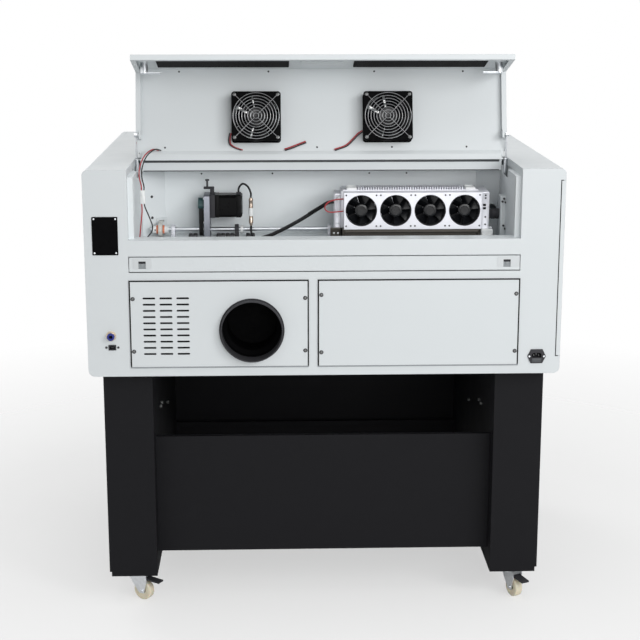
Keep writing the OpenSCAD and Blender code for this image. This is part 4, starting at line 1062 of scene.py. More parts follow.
    def white_plug(self) -> bpy.types.Object:
        """Two-way crimp housing with a latch and ribs."""
        x, y, z = self.plug_low
        shell = Blank.block("white_plug", (x, x + 12), (y, y + 8), (z, z + 18)).rounded(0.8, 2)
        tail = Blank.block("socket_half", (x + 0.8, x + 11.2), (y + 0.8, y + 7.2),
                           (z + 17, z + 32)).rounded(0.8, 2)
        tail.stepped(looks(Facing.UP), 1.2, -2.0)
        latch = Blank.block("latch", (x + 4, x + 8), (y - 1.6, y + 1.5), (z + 8, z + 25)).rounded(0.5, 2)
        across = (x - 0.6, x + 12.6), (y + 1.5, y + 6.5)
        ribs = [Blank.block("rib", *across, (z + h, z + h + 1.2)).rounded(0.3, 1) for h in (2.5, 6.0)]
        return shell.joined([latch, *ribs, tail]).mount(WHITE_PLASTIC, "compartment_wires")

    def shrink_sleeves(self) -> dict[str, list[bpy.types.Object]]:
        """Shrunk sleeves near the laser end of the two cables, by the name of their cable."""
        sleeves, middle = {}, ((-34, 188, 967), (-10, 186, 982), (6, 184.6, 992))
        for letter, shift in (("a", 0.0), ("b", -self.cable_gap)):
            route = tuple((x, y + shift, z) for x, y, z in middle)
            tube, _ = Lead(f"shrink_sleeve_{letter}", route, self.laser_r + 0.25, BLACK_CABLE).tube()
            sleeves[f"laser_cable_{letter}"] = [tube.mount(RUBBER, "compartment_wires")]
        return sleeves

    def grommets(self) -> None:
        """Rubber grommets where leads pass through the tray floor."""
        ring = [(3.2, 0), (7.5, 0), (7.5, 1.6), (6.6, 2.6), (4.4, 2.6), (3.2, 1.4), (3.2, 0)]
        pattern = Blank.turned("floor_grommets", ring, steps=28)
        places = [spot(-168, 228, TRAY_Z), spot(-435, 79, TRAY_Z)]
        pattern.scattered("floor_grommets", places).mount(RUBBER)


def arc(middle: Span, radius: float, start_deg: float, end_deg: float, steps: int = 10) -> list[Span]:
    """Points on an arc, for an outline."""
    turns = [math.radians(start_deg + (end_deg - start_deg) * i / steps) for i in range(steps + 1)]
    return [(middle[0] + radius * math.cos(t), middle[1] + radius * math.sin(t)) for t in turns]


def wire_ring(name: str, radius: float, wire: float, height: float = 0.0, steps: int = 48) -> Blank:
    """Ring of round wire about the upright axis."""
    section = [(radius + r, height + z) for r, z in arc((0, 0), wire, 0, 360, 8)]
    return Blank.turned(name, section, steps=steps)


def bar(name: str, start: Point, end: Point, radius: float, sides: int = 12) -> Blank:
    """Round bar from one point to another."""
    along = Vector(end) - Vector(start)
    return Blank.rod(name, radius, along.length, Matrix.Translation(start) @ aim(along.normalized()), sides)


def border(name: str, x: Span, y: Span, z: Span, rim: float) -> Blank:
    """Flat rim of four strips around a rectangle that is seen from the rear."""
    strips = [Blank.block(name, (x[0] - rim, x[1] + rim), y, (low, low + rim)).rounded(0.3, 1)
              for low in (z[0] - rim, z[1])]
    strips += [Blank.block(name, (low, low + rim), y, z).rounded(0.3, 1) for low in (x[0] - rim, x[1])]
    return strips[0].joined(strips[1:])


def fan_rotor(hub_r: float, tip_r: float, height: Span, blades: int, sweep_deg: float) -> Blank:
    """Rotor of an axial fan about the upright axis: a dished hub and swept blades.

    Args:
        hub_r: Radius of the hub.
        tip_r: Radius at the tips of the blades.
        height: Bottom and top of the hub.
        blades: How many blades.
        sweep_deg: How far a blade winds around the hub.

    Returns:
        The rotor.
    """
    low, high = height
    hub = Blank.turned("rotor_hub", [
        (0, high - 0.7), (0.6 * hub_r, high - 0.7), (0.66 * hub_r, high), (0.88 * hub_r, high),
        (0.97 * hub_r, high - 0.8), (hub_r, high - 2.4), (hub_r, low), (0, low)], steps=40)
    spans, steps, thick = 4, 7, 1.3
    lift = (high - low - 3.5) / steps
    blade = Blank.point("blade", Vector((hub_r - 0.8, 0, low + 1)))
    for _ in range(spans):
        Blank.pull(Vector(((tip_r - hub_r) / spans, 0, 0)))
    bpy.ops.mesh.select_all(action="SELECT")
    for _ in range(steps):
        Blank.pull(Vector((0, 0, lift)))
        bpy.ops.transform.rotate(value=math.radians(sweep_deg / steps), orient_axis="Z",
                                 center_override=(0, 0, 0))
    blade.heal()
    shell = blade.obj.modifiers.new("shell", "SOLIDIFY")
    shell.thickness, shell.offset = thick, 0.0
    blade.apply(shell)
    turns = [Matrix.Rotation(math.tau * i / blades, 4, "Z") for i in range(blades)]
    return hub.joined([blade.scattered("blades", turns)])


@dataclass
class RearFace:
    """Rear face: painted shadow borders and backing of its panels, screws, bare plate and ports, plus trim of
    the stand and of the hinge beam, whose two strips paint shadow.
    """

    vent: tuple[Span, Span] = ((-458.0, -40.0), (632.0, 840.0))
    service: tuple[Span, Span] = ((-16.0, 458.0), (632.0, 840.0))
    # Width of the black border that paints the shadow gap around each rear panel.
    seal: float = 3.0
    leg_face: float = 415.0
    inlet: Span = (504.0, 652.0)
    data_port: Span = (-502.0, 681.0)
    air: Span = (-504.0, 709.0)
    plate: Span = (-511.0, 947.0)
    collar: Span = (-173.0, 720.5)

    def build(self) -> None:
        """Fits every small piece of the rear face."""
        lap = self.seal / 2
        # Black borders around the vent and service panels paint the shadow gaps around them; the grey bottom
        # strip paints the lower edge of each gap, which catches the light.
        for name, (x, z) in (("vent_panel_shadow_border", self.vent), ("service_panel_shadow_border", self.service)):
            inner = (x[0] + lap, x[1] - lap), (-2.6, 0.2), (z[0] + lap, z[1] - lap)
            seal = border(name, *inner, self.seal)
            seal.banded(LATCH_GREY, lambda centre, normal, lit_sill=z[0] + lap: centre.z < lit_sill)
            seal.mount(RUBBER)
        # Black block behind the vent slots: a dark sheet that paints the shade inside them.
        Blank.block("vent_shade_backing", (-434, -313), (0, 2.4), (655, 809)).rounded(0.5, 2).mount(RUBBER)
        self.set_screws()
        self.seam()
        self.beam_strips()
        self.strut_pockets()
        self.bare_plate()
        self.mains_inlet()
        self.square_port()
        self.air_fitting()
        self.duct_shade_liner()

    def set_screws(self) -> None:
        """Panel screws, leg bolts and the dark screws of the folded back wall and the hinge beam."""
        panel = [spot(x, -2, z, Facing.REAR) for x in (-451, -47) for z in (671, 798)]
        panel += [spot(x, -2, z, Facing.REAR) for x in (-9, 451) for z in (666, 805)]
        heads = pan_head(5.0, 2.2).scattered("panel_screws", panel)
        # Only the flat rear face of each head stays nickel and the rounded sides are dark steel: a painted
        # highlight on the face and painted shade on the sides.
        heads.banded(DARK_STEEL, lambda centre, normal: normal.y > -0.965)
        heads.mount(SCREW_NICKEL, "fasteners")
        faces = ((-1, Facing.RIGHT), (1, Facing.LEFT))
        bolts = [spot(sign * self.leg_face, y, z, facing) for sign, facing in faces
                 for y, z in ((260, 460), (296, 460), (490, 405))]
        hex_bolt(4.6, 6.0).scattered("leg_bolts", bolts).mount(SCREW_NICKEL, "fasteners")
        turn = aim(Vector((0.618, -0.786, 0)))
        folds = [Matrix.Translation((-424, 284.2, z)) @ turn for z in (945, 998)]
        screws("back_wall_screws", (3.5, 2.5), folds, DARK_STEEL, "fasteners")
        top = [spot(x, 310, 1052, Facing.REAR) for x in (-300, -122, 122, 216)]
        screws("beam_screws", (2.2, 1.4), top, DARK_STEEL)

    def seam(self) -> None:
        """Dark joint of the removable side panel, with its short returns."""
        strip = Blank.block("side_panel_seam", (548.2, 550.2), (-0.7, 0.3), (653, 1073)).rounded(0.25, 1)
        ends = [Blank.block("return", (548.2, 555), (-0.7, 0.3), (low, low + 1.8)).rounded(0.25, 1)
                for low in (652, 1072)]
        strip.joined(ends).mount(RUBBER)

    def beam_strips(self) -> None:
        """Grey strips that paint the shadow under the hem of the rear lid and the shadow gap along the foot
        of the hinge beam.
        """
        for name, z in (("hem_shadow_strip", (1089.4, 1094.7)), ("beam_edge_shadow_strip", (1067.8, 1070.2))):
            Blank.block(name, (-438, 438), (229.6, 231.2), z).rounded(0.5, 2).mount(KEY_GREY)

    def strut_pockets(self) -> None:
        """Open-topped pockets under the deck in which the struts fold away."""
        for name, sign in SIDES:
            outer, inner = sorted((sign * 460.6, sign * 448.2)), sorted((sign * 459.4, sign * 440.0))
            pocket = Blank.block(f"strut_pocket_{name}", tuple(outer), (139, 262), (1028, 1077.5))
            pocket.cut(Blank.block("room", tuple(inner), (140.2, 260.8), (1029.2, 1090)))
            pocket.rounded(0.3, 1).mount(CABINET_COAT)

    def bare_plate(self) -> None:
        """Plate without any marking: a raised border and four rivets."""
        x, z = self.plate
        plate = Blank.block("bare_plate", (x - 30, x + 30), (-1, 0.2), (z - 45, z + 45))
        plate.rounded(2, 3, lengthwise).stepped(looks(Facing.REAR), 2.2, -0.35)
        plate.mount(DUCT_BLACK, "rating_plate")
        rivet = Blank.turned("rivet", [(0, 1.1), (1.1, 1.0), (2.0, 0.4), (2.3, 0), (0, 0)], steps=20)
        places = [spot(x + dx, -0.9, z + dz, Facing.REAR) for dx, dz in corners(25, 40)]
        rivet.scattered("plate_rivets", places).mount(ZINC, "rating_plate")

    def mains_inlet(self) -> None:
        """Three-pole inlet over a fuse drawer, in a six-sided flange."""
        place = spot(self.inlet[0], 0, self.inlet[1], Facing.REAR)
        flange = [(-22, 0), (-14, -17), (14, -17), (22, 0), (14, 17), (-14, 17)]
        shell = Blank.prism("mains_inlet", flange, 3.0).rounded(0.9, 2, lambda middle, along: middle.z > 2)
        shell.fused(Blank.block("socket", (-13.6, 13.6), (-9.6, 9.6), (-24, 1)))
        mouth = [(-11.5, -3), (11.5, -3), (11.5, 5), (8, 8.6), (-8, 8.6), (-11.5, 5)]
        shell.cut(Blank.prism("mouth", mouth, 22, spot(0, 0, -16)))
        shell.moved(place).mount(BLACK_PLASTIC, "rear_ports")
        drawer = Blank.block("fuse_drawer", (-11.5, 11.5), (-14.4, -4.6), (2.6, 4.2)).rounded(0.6, 2)
        drawer.cut(Blank.block("nail_slot", (-3, 3), (-14.8, -12.6), (3.4, 5)))
        drawer.moved(place).mount(KEY_GREY, "rear_ports")
        pin = Blank.block("inlet_pins", (-0.9, 0.9), (-1.9, 1.9), (-17, -4)).rounded(0.4, 2)
        pins = [place @ spot(x, y, 0) for x, y in ((-6, 1), (0, 4), (6, 1))]
        pin.scattered("inlet_pins", pins).mount(SCREW_NICKEL, "rear_ports")
        heads = [place @ spot(x, 0, 3) for x in (-17.5, 17.5)]
        screws("inlet_screws", (2.6, 1.4), heads, ZINC, "rear_ports")

    def square_port(self) -> None:
        """Square data port between two screws."""
        place = spot(self.data_port[0], 0, self.data_port[1], Facing.REAR)
        shell = Blank.block("data_port", (-9, 9), (-6.5, 6.5), (-1, 2.5)).rounded(0.7, 2)
        shell.fused(Blank.block("case", (-7.6, 7.6), (-5.6, 5.6), (-16, 1)))
        mouth = [(-6, -4), (6, -4), (6, 2), (4, 4), (-4, 4), (-6, 2)]
        shell.cut(Blank.prism("mouth", mouth, 16, spot(0, 0, -11)))
        shell.joined([Blank.block("tongue", (-3, 3), (-1.6, 1.6), (-11.5, 0)).rounded(0.3, 1)])
        shell.moved(place).mount(BLACK_PLASTIC, "rear_ports")
        heads = [place @ spot(x, 0, 0) for x in (-14, 14)]
        screws("data_port_screws", (2.9, 1.6), heads, DARK_STEEL, "rear_ports")

    def air_fitting(self) -> None:
        """Push-in air fitting: nickel flange, tube with an open bore and a coloured release collar."""
        place = spot(self.air[0], 0, self.air[1], Facing.REAR)
        flange = [(4.0, -20), (7.6, -20), (7.6, -0.2), (11.2, -0.2), (12, 0.6), (12, 2.2), (11.2, 3),
                  (8.6, 3), (8, 3.8), (8, 9.4), (4.0, 9.4), (4.0, -20)]
        Blank.turned("air_fitting", flange, place).mount(FITTING_NICKEL, "rear_ports")
        collar = [(4.0, 8.6), (8.2, 8.6), (9, 9.4), (9, 12.6), (8.2, 13.8), (4.9, 14), (4.0, 13), (4.0, 8.6)]
        Blank.turned("air_collar", collar, place).mount(BLUE_COLLAR, "rear_ports")

    def duct_shade_liner(self) -> None:
        """Near-black stepped liner that carries the exhaust collar on into the cabinet, with a closed far
        end: a dark sheet that paints the shade deep inside the duct.
        """
        place = spot(self.collar[0], 0, self.collar[1], Facing.REAR)
        profile = [(70.8, -22), (70.8, -36), (61.5, -46), (61.5, -120), (0, -120), (0, -118.8), (60, -118.8),
                   (60, -45.4), (69.4, -35.4), (69.4, -22), (70.8, -22)]
        Blank.turned("duct_shade_liner", profile, place, 64).mount(DUCT_BLACK)


@dataclass
class DoorTrim:
    """Latch plates and slide latches of the pass-through door."""

    window: Span = (427.0, 8.5)

    def build(self) -> None:
        """Fits a plate with a finger window and a slide latch at each end of the door."""
        middle, half = self.window
        for name, x, sign in (("left", (-449, -405), -1), ("right", (404, 456), 1)):
            plate = Blank.block(f"latch_plate_{name}", x, (-0.9, 0.2), (869.6, 894))
            plate.rounded(1.5, 3, lengthwise)
            at = sign * middle
            plate.cut(Blank.block("window", (at - half, at + half), (-2, 2), (860, 887)))
            plate.mount(LATCH_WHITE, body="pass_door")
            self.latch(name, sign)

    def latch(self, name: str, sign: int) -> None:
        """Slide latch behind the window: a black top band that paints the shadow of the window's upper edge,
        above a grey finger pad, with its rib and bolt.

        Args:
            name: Side of the door, as in the name of the body.
            sign: Side of the door, -1 or 1.
        """
        def piece(part: str, x: Span, y: Span, z: Span) -> Blank:
            """Rounded block, mirrored to its side."""
            return Blank.block(part, tuple(sorted(sign * at for at in x)), y, z).rounded(0.3, 2)

        thick = (2.4, 6)
        slide = piece(f"latch_slide_{name}", (407, 452), thick, (874, 881))
        slide.joined([piece("shadow_band", (407, 452), thick, (881, 890)),
                      piece("skirt", (412, 442), thick, (868, 874.6)),
                      piece("rib", (424, 430), (0.6, 2.8), (874, 881)),
                      piece("bolt", (451, 456.5), (3, 6), (876, 888))])
        # The black band over the top of the latch is painted shadow from the window's upper edge.
        slide.banded(BLACK_PLASTIC, lambda centre, normal: centre.z > 881 and abs(centre.x) < 452)
        slide.mount(LATCH_GREY, f"door_latch_{name}", body=f"door_latch_{name}")


@dataclass
class LidFans:
    """Two axial fans under the rear lid with frames, rotors and wire guards."""

    x: float = 160.5
    y: float = 125.0
    size: float = 120.0
    depth: float = 38.0
    plate: float = 5.0
    bore_r: float = 57.0
    hole: float = 52.5
    hub_r: float = 24.0
    tip_r: float = 54.6
    wire: float = 0.75

    def build(self) -> None:
        """Builds one fan and fits a copy of each of its pieces on both sides."""
        pieces = ((self.housing(), DUCT_BLACK, "rear_lid", "lid_fan_frames", "lid_fan_frame"),
                  (self.guard(), GUARD_WIRE, "rear_lid", "lid_fan_frames", "lid_fan_guard"),
                  (self.guard_screws(), SCREW_NICKEL, "rear_lid", "lid_fan_frames", "lid_fan_screws"),
                  (fan_rotor(self.hub_r, self.tip_r, (4.8, 32.6), 7, -47), GLOSS_BLACK, "lid_fan_rotor",
                   "lid_fan_rotor", "lid_fan_rotor_blades"))
        for pattern, finish, body, node, name in pieces:
            for side, sign in SIDES:
                place = spot(sign * self.x, self.y, LID_SKIN_Z) @ Matrix.Rotation(math.pi, 4, "X")
                own = "" if body == "rear_lid" else f"_{side}"
                fan_piece = pattern.copy(f"{name}_{side}", place)
                fan_piece.mount(finish, node + own, body=body + own, station=Station.SHUT_LID)
            pattern.drop()

    def holes(self, height: float = 0.0) -> list[Matrix]:
        """Places of the corner holes at a height."""
        return [spot(x, y, height) for x, y in corners(self.hole, self.hole)]

    def housing(self) -> Blank:
        """Two plates with a barrel, corner posts and the arms that hold the hub."""
        half, top = self.size / 2, self.depth - self.plate
        slab = Blank.block("fan_plate", (-half, half), (-half, half), (0, self.plate)).rounded(7, 4, upright)
        slab.rounded(0.6, 1, level)
        slab.cut(Blank.rod("bore", self.bore_r, 9, spot(0, 0, -2), 64))
        slab.cut(*(Blank.rod("hole", 2.2, 9, place, 16) for place in self.holes(-2)))
        cover = slab.copy("cover", spot(0, 0, top))
        barrel = Blank.turned("barrel", [(self.bore_r, 4.6), (58.6, 4.6), (58.6, top + 0.4),
                                         (self.bore_r, top + 0.4), (self.bore_r, 4.6)], steps=64)
        posts = Blank.turned("post", [(2.3, 4.8), (4.8, 4.8), (4.4, 14), (4.4, 24), (4.8, top + 0.2),
                                      (2.3, top + 0.2), (2.3, 4.8)], steps=16)
        posts = posts.scattered("posts", self.holes())
        hub = Blank.turned("stator", [(0, 0), (self.hub_r, 0), (self.hub_r, 3.4), (self.hub_r - 0.6, 4),
                                      (0, 4)])
        arm = Blank.block("arm", (self.hub_r - 2, 58), (-3, 3), (0.4, 4)).rounded(0.5, 1)
        arms = arm.scattered("arms", [Matrix.Rotation(math.radians(20 + 90 * i), 4, "Z") for i in range(4)])
        return slab.joined([cover, barrel, posts, hub, arms])

    def guard(self) -> Blank:
        """Round wire rings on four spokes that end in eyelets around the corner screws."""
        low, high = self.depth + self.wire, self.depth + 2.7 * self.wire
        rings = [wire_ring("guard", 6.4 + 7.1 * i, self.wire, high) for i in range(8)]
        reach = self.hole - 2.4
        spokes = [bar("spoke", (*root, low), (*tip, low), self.wire, 8)
                  for root, tip in zip(corners(4, 4), corners(reach, reach))]
        eye = wire_ring("eye", 3.5, self.wire, low, 20)
        eyes = eye.scattered("eyes", self.holes())
        return rings[0].joined([*rings[1:], *spokes, eyes])

    def guard_screws(self) -> Blank:
        """Cross-recess screws through the eyelets."""
        return pan_head(3.6, 2.2).scattered("guard_screws", self.holes(self.depth + 1.2))


@dataclass
class LidTrim:
    """Foam pads on the flange of the rear lid and small screws along its fold."""

    pads: tuple[Span, ...] = ((-398.0, -80.0), (76.0, 398.0))
    pad_z: Span = (955.0, 1062.0)

    def build(self) -> None:
        """Glues the pads on and sets the screws."""
        for side, x in zip(("left", "right"), self.pads):
            pad = Blank.block(f"flange_pad_{side}", x, (1.9, 6), self.pad_z).rounded(1.2, 3)
            pad.stepped(looks(Facing.FRONT), 3.0, -0.6)
            pad.mount(RUBBER, body="rear_lid", station=Station.SHUT_LID)
        fold = [spot(x, 9, LID_SKIN_Z, Facing.DOWN) for x in (-349, -130, 130, 349)]
        fold += [spot(x, 196, LID_SKIN_Z, Facing.DOWN) for x in (-384, -12, 172, 356)]
        screws("lid_screws", (2.4, 1.4), fold, DARK_STEEL, body="rear_lid", station=Station.SHUT_LID)


@dataclass(frozen=True)
class Casting:
    """Rounded box with one face stepped in or out."""

    name: str
    x: Span
    y: Span
    z: Span
    edge: tuple[float, int]
    step: Span
    finish: Finish
    face: Facing = Facing.REAR
    node: str = "laser_tube"

    def build(self) -> None:
        """Shapes the box and mounts it."""
        box = Blank.block(self.name, self.x, self.y, self.z).rounded(*self.edge)
        box.stepped(looks(self.face), *self.step).mount(self.finish, self.node)


@dataclass
class LaserUnit:
    """Laser source with its base, cooling fins, end brackets, fans and the beam path to the first mirror."""

    shroud_y: float = 130.0
    fan_back_y: float = 156.0
    fin_x: Span = (84.0, 346.0)
    fin_pitch: float = 6.0
    fan_x: tuple[float, ...] = (91.65, 174.95, 258.25, 341.55)
    fan_z: float = 983.5
    fan_bore: float = 38.0
    beam: Point = (402.0, 185.0, 967.0)
    fin_y: Span = (160.0, 207.0)
    fin_z: float = 1029.0

    def build(self) -> None:
        """Builds the source from its base up, then the beam path."""
        for casting in self.castings():
            casting.build()
        self.fins()
        self.small_fittings()
        self.fans()
        self.beam_path()

    def castings(self) -> tuple[Casting, ...]:
        """Base, housing, fin ends, the brackets at the cable end and the beam end, and the mirror block."""
        return (
            Casting("laser_base", (46, 382), (134, 240), (TRAY_Z, 938), (1.0, 2), (9.0, -2.0), DARK_ALLOY),
            Casting("laser_source", (44, 382), (156, 240), (938, 1027), (1.4, 2), (3.0, 3.0), ALLOY,
                    Facing.UP),
            *(Casting(f"fin_end_{side}", x, self.fin_y, (self.fin_z, 1034.5), (0.8, 2), (3.0, -0.8),
                      WHITE_PLASTIC, Facing.UP) for side, x in (("left", (58, 82)), ("right", (347, 371)))),
            Casting("cable_bracket", (28, 44), (162, 230), (TRAY_Z, 1021), (1.2, 2), (3.0, -2.0), ALLOY),
            Casting("terminal_block", (18, 43), (150, 163), (TRAY_Z, 938), (1.0, 2), (2.5, -1.5), DARK_ALLOY),
            Casting("beam_bracket", (382.5, 402), (136, 240), (TRAY_Z, 1027), (1.2, 2), (2.4, -0.8), ALLOY),
            Casting("beam_foot", (383, 410), (122, 137), (922, 938), (1.2, 2), (2.5, -1.0), WHITE_PLASTIC),
            Casting("mirror_block", (434, 449), (163, 211), (TRAY_Z, 1012), (1.6, 3), (3.0, -1.5),
                    CABINET_COAT, Facing.LEFT, "beam_mount"))

    def fins(self) -> None:
        """Thin cooling fins with rounded tips."""
        fin = Blank.block("fin", (-0.9, 0.9), self.fin_y, (self.fin_z, 1036.4))
        fin.rounded(0.6, 2, lambda middle, along: middle.z > 1036)
        count = int((self.fin_x[1] - self.fin_x[0]) / self.fin_pitch)
        places = [spot(self.fin_x[0] + self.fin_pitch * (i + 0.5), 0, 0) for i in range(count)]
        fin.scattered("cooling_fins", places).mount(ALLOY, "laser_tube")

    def small_fittings(self) -> None:
        """Screws, white lead post and sockets of the two brackets."""
        heads = [spot(x, 151.2, z, Facing.REAR) for x in (26.5, 36.5) for z in (911, 926)]
        heads += [spot(36, 163.8, z, Facing.REAR) for z in (948, 966)]
        screws("terminal_screws", (2.6, 1.6), heads, ZINC, "laser_tube")
        post = Blank.turned("lead_post", [(0, 13), (3.4, 13), (4, 12), (4, 6), (5.2, 5), (5.2, 0), (0, 0)],
                            spot(38, 164, 1008, Facing.REAR), 24)
        post.mount(WHITE_PLASTIC, "laser_tube")
        socket = Blank.block("bracket_sockets", (-3.4, 3.4), (-2.6, 2.6), (0, 2.2)).rounded(0.5, 2)
        socket.stepped(looks(Facing.UP), 0.8, -1.2)
        places = [spot(390.5, 136.8, z, Facing.REAR) for z in (995.5, 987.5)]
        socket.scattered("bracket_sockets", places).mount(RUBBER, "laser_tube")
        heads = [spot(393, 136.8, z, Facing.REAR) for z in (1019, 1012, 966, 948)]
        screws("bracket_screws", (2.3, 1.5), heads, DARK_STEEL, "laser_tube")

    def fans(self) -> None:
        """Black cups, rotors and shroud screws of the four fans."""
        wall = self.fan_bore - 0.1
        cup = Blank.turned("fan_cup", [(wall, 25.4), (36.7, 25.4), (36.5, 24), (36.5, 0.8), (0, 0.8),
                                       (0, 0.2), (wall, 0.2), (wall, 25.4)], steps=56)
        rotor = fan_rotor(15.6, 35.8, (3.8, 22.4), 7, 46)
        heads = []
        for index, x in enumerate(self.fan_x, 1):
            place = spot(x, self.fan_back_y, self.fan_z, Facing.REAR)
            cup.copy(f"fan_cup_{index}", place).mount(BLACK_PLASTIC)
            node = f"laser_fan_rotor_{index}"
            rotor.copy(f"laser_fan_blades_{index}", place).mount(GLOSS_BLACK, node, body=node)
            heads += [spot(x + dx, self.shroud_y, self.fan_z + dz, Facing.REAR)
                      for dx, dz in corners(36.5, 37.4)]
        cup.drop()
        rotor.drop()
        screws("shroud_screws", (2.2, 1.3), heads, DARK_STEEL)

    def beam_path(self) -> None:
        """Ribbed black beam tube and the adjusting knobs of the first mirror."""
        x, y, z = self.beam
        ribs = [(0, 0), (13, 0), (13, 8), (12.2, 9), (12.2, 11), (13, 12), (13, 20), (12.2, 21), (12.2, 23),
                (13, 24), (13, 32), (0, 32)]
        Blank.turned("beam_tube", ribs, spot(x, y, z, Facing.RIGHT)).mount(BLACK_PLASTIC, "beam_mount")
        knob = Blank.turned("mirror_knobs", [(0, 0), (1.4, 0), (1.4, 1.6), (2.2, 2), (2.6, 2.6), (2.6, 6.4),
                                             (2.2, 7), (0, 7)], steps=14)
        places = [spot(x, 163.5, height, Facing.REAR) for x, height in (
            (437.5, 1000), (445.5, 998), (441.5, 1007), (441, 941), (445.5, 933))]
        knob.scattered("mirror_knobs", places).mount(DARK_STEEL, "beam_mount")


@dataclass
class DriveUnit:
    """Motor with its bracket, belt guard, bearings, belts and the coupling on the drive shaft."""

    shaft: Span = (262.0, 919.0)
    motor_z: float = 980.0
    motor_x: Span = (-265.0, -200.5)
    half: float = 28.5
    plate_x: Span = (-292.0, -277.5)
    bracket_x: Span = (-278.0, -264.5)
    hook_top: float = 1025.5
    belt_x: float = -300.0
    long_belt_x: float = 402.0
    belt_end_y: float = 870.0
    belt_r: Span = (14.1, 16.1)
    belt_w: float = 10.0
    shaft_bore: float = 5.05
    bearings: tuple[float, ...] = (-370.0, -212.0, 20.0, 365.0)

    def build(self) -> None:
        """Builds the motor, its bracket and everything on the shaft."""
        self.motor()
        self.bracket()
        self.bearing_blocks()
        self.belts()
        self.guard()
        self.coupling()
        self.wipers()

    def across(self) -> tuple[Span, Span]:
        """The motor's square, on Y and on Z."""
        return tuple((middle - self.half, middle + self.half) for middle in (self.shaft[0], self.motor_z))

    def motor(self) -> None:
        """Square motor: two end bells, a laminated stack, long screws and a lead socket."""
        y, z = self.shaft[0], self.motor_z
        across, (low, high) = self.across(), self.motor_x
        bells = [Blank.block("motor", x, *across).rounded(5, 3, crosswise).rounded(0.8, 2)
                 for x in ((low, low + 10), (high - 12, high))]
        bells[1].stepped(looks(Facing.RIGHT), 6.0, -0.8)
        bells[0].cut(Blank.rod("shaft_hole", 4.4, 14, spot(low - 1, y, z, Facing.RIGHT), 24))
        bells[0].joined(bells[1:]).mount(MOTOR_PAINT, "y_motor")
        inner = tuple((a + 0.8, b - 0.8) for a, b in across)
        stack = Blank.block("motor_stack", (low + 9.5, high - 11.5), *inner).rounded(7, 1, crosswise)
        stack.mount(MOTOR_STACK, "y_motor")
        heads = [spot(high - 0.3, y + dy, z + dz, Facing.RIGHT) for dy, dz in corners(23.5, 23.5)]
        screws("motor_screws", (2.8, 2.0), heads, DARK_STEEL, "y_motor")
        socket = Blank.block("motor_socket", (-212, -200.5), (244, 256), (1007.8, 1013.5)).rounded(0.7, 2)
        socket.cut(Blank.rod("lead_hole", 3.0, 8, spot(*MOTOR_LEAD_AT, 1008.6), 20))
        socket.mount(BLACK_PLASTIC, "y_motor")

    def bracket(self) -> None:
        """Silver plate, black motor bracket with its hook, and the tension screw."""
        y, z = self.shaft[0], self.motor_z
        plate = Blank.block("motor_plate", self.plate_x, (y - 34.5, y + 34.5), (TRAY_Z, 1008.5))
        plate.rounded(6, 3, lambda middle, along: crosswise(middle, along) and middle.z > 1000)
        plate.rounded(0.6, 1)
        for height, radius in ((z, 6.0), (self.shaft[1], 5.2)):
            plate.cut(Blank.rod("hole", radius, 20, spot(self.plate_x[0] - 2, y, height, Facing.RIGHT), 28))
        plate.mount(PLATE_ALLOY, "drive_brackets")
        block = Blank.block("motor_bracket", self.bracket_x, *self.across()).rounded(1.0, 2)
        block.cut(Blank.rod("bore", 20, 16, spot(self.bracket_x[0] - 1, y, z, Facing.RIGHT), 40))
        neck = Blank.block("neck", (-277, -267), (y - 8, y + 8), (1007, 1024)).rounded(3.0, 3)
        hook = Blank.block("hook", (-293, -267), (y - 8, y + 8), (self.hook_top - 5, self.hook_top))
        block.joined([neck, hook.rounded(1.6, 3)]).mount(BLACK_PLASTIC, "drive_brackets")
        steps = [(0, 0), (2.5, 0), (2.5, 14), (3.2, 14.6), (5, 15), (5, 18.4), (4.4, 19), (0, 19)]
        screw = Blank.turned("tension_screw", steps, spot(-284, y, self.hook_top), 20)
        screw.mount(DARK_STEEL, "drive_brackets")
        heads = [spot(self.plate_x[0], y + dy, height, Facing.LEFT)
                 for dy in (-27, 27) for height in (940, 1000)]
        screws("plate_screws", (3.0, 2.0), heads, ZINC, "drive_brackets")

    def bearing_blocks(self) -> None:
        """Bearing blocks with rounded tops and foot screws."""
        y, z = self.shaft
        outline = [(-15, 0), (15, 0), (15, 9), (12.4, 12), *arc((0, 19), 12.4, 0, 180, 14), (-12.4, 12),
                   (-15, 9)]
        block = Blank.prism("bearing_blocks", outline, 10).rounded(0.7, 1, level)
        block.cut(Blank.rod("bore", 5.3, 14, spot(0, z - TRAY_Z, -2), 28))
        for name, finish, dark in (("bearing_blocks", ALLOY, False), ("motor_bearing", BLACK_PLASTIC, True)):
            places = [spot(x - 5, y, TRAY_Z) @ SIDEWAYS for x in self.bearings if (x == -212) == dark]
            block.copy(name).scattered(name, places).mount(finish, "drive_brackets")
        block.drop()
        foot = Blank.block("motor_feet", (-11, 11), (-14, 14), (0, 6)).rounded(1.0, 2)
        foot.joined([hex_bolt(4.6, 4.0).scattered("caps", [spot(dx, -7, 6) for dx in (-6, 6)])])
        feet = [spot(x, y, TRAY_Z) for x in (-321, -252, -229, -178)]
        foot.scattered("motor_feet", feet).mount(DARK_STEEL, "drive_brackets")

    def loop(self, name: str, x: float, start: Span, end: Span) -> Blank:
        """Belt around two pulleys, drawn from the side."""
        along = math.degrees(math.atan2(end[1] - start[1], end[0] - start[0]))
        outer, inner = ([*arc(end, r, along - 90, along + 90, 16),
                         *arc(start, r, along + 90, along + 270, 16)] for r in reversed(self.belt_r))
        left, over = x - self.belt_w / 2, 2.0
        belt = Blank.prism(name, outer, self.belt_w, spot(left, 0, 0) @ SIDEWAYS)
        room = spot(left - over, 0, 0) @ SIDEWAYS
        return belt.cut(Blank.prism("inside", inner, self.belt_w + 2 * over, room))

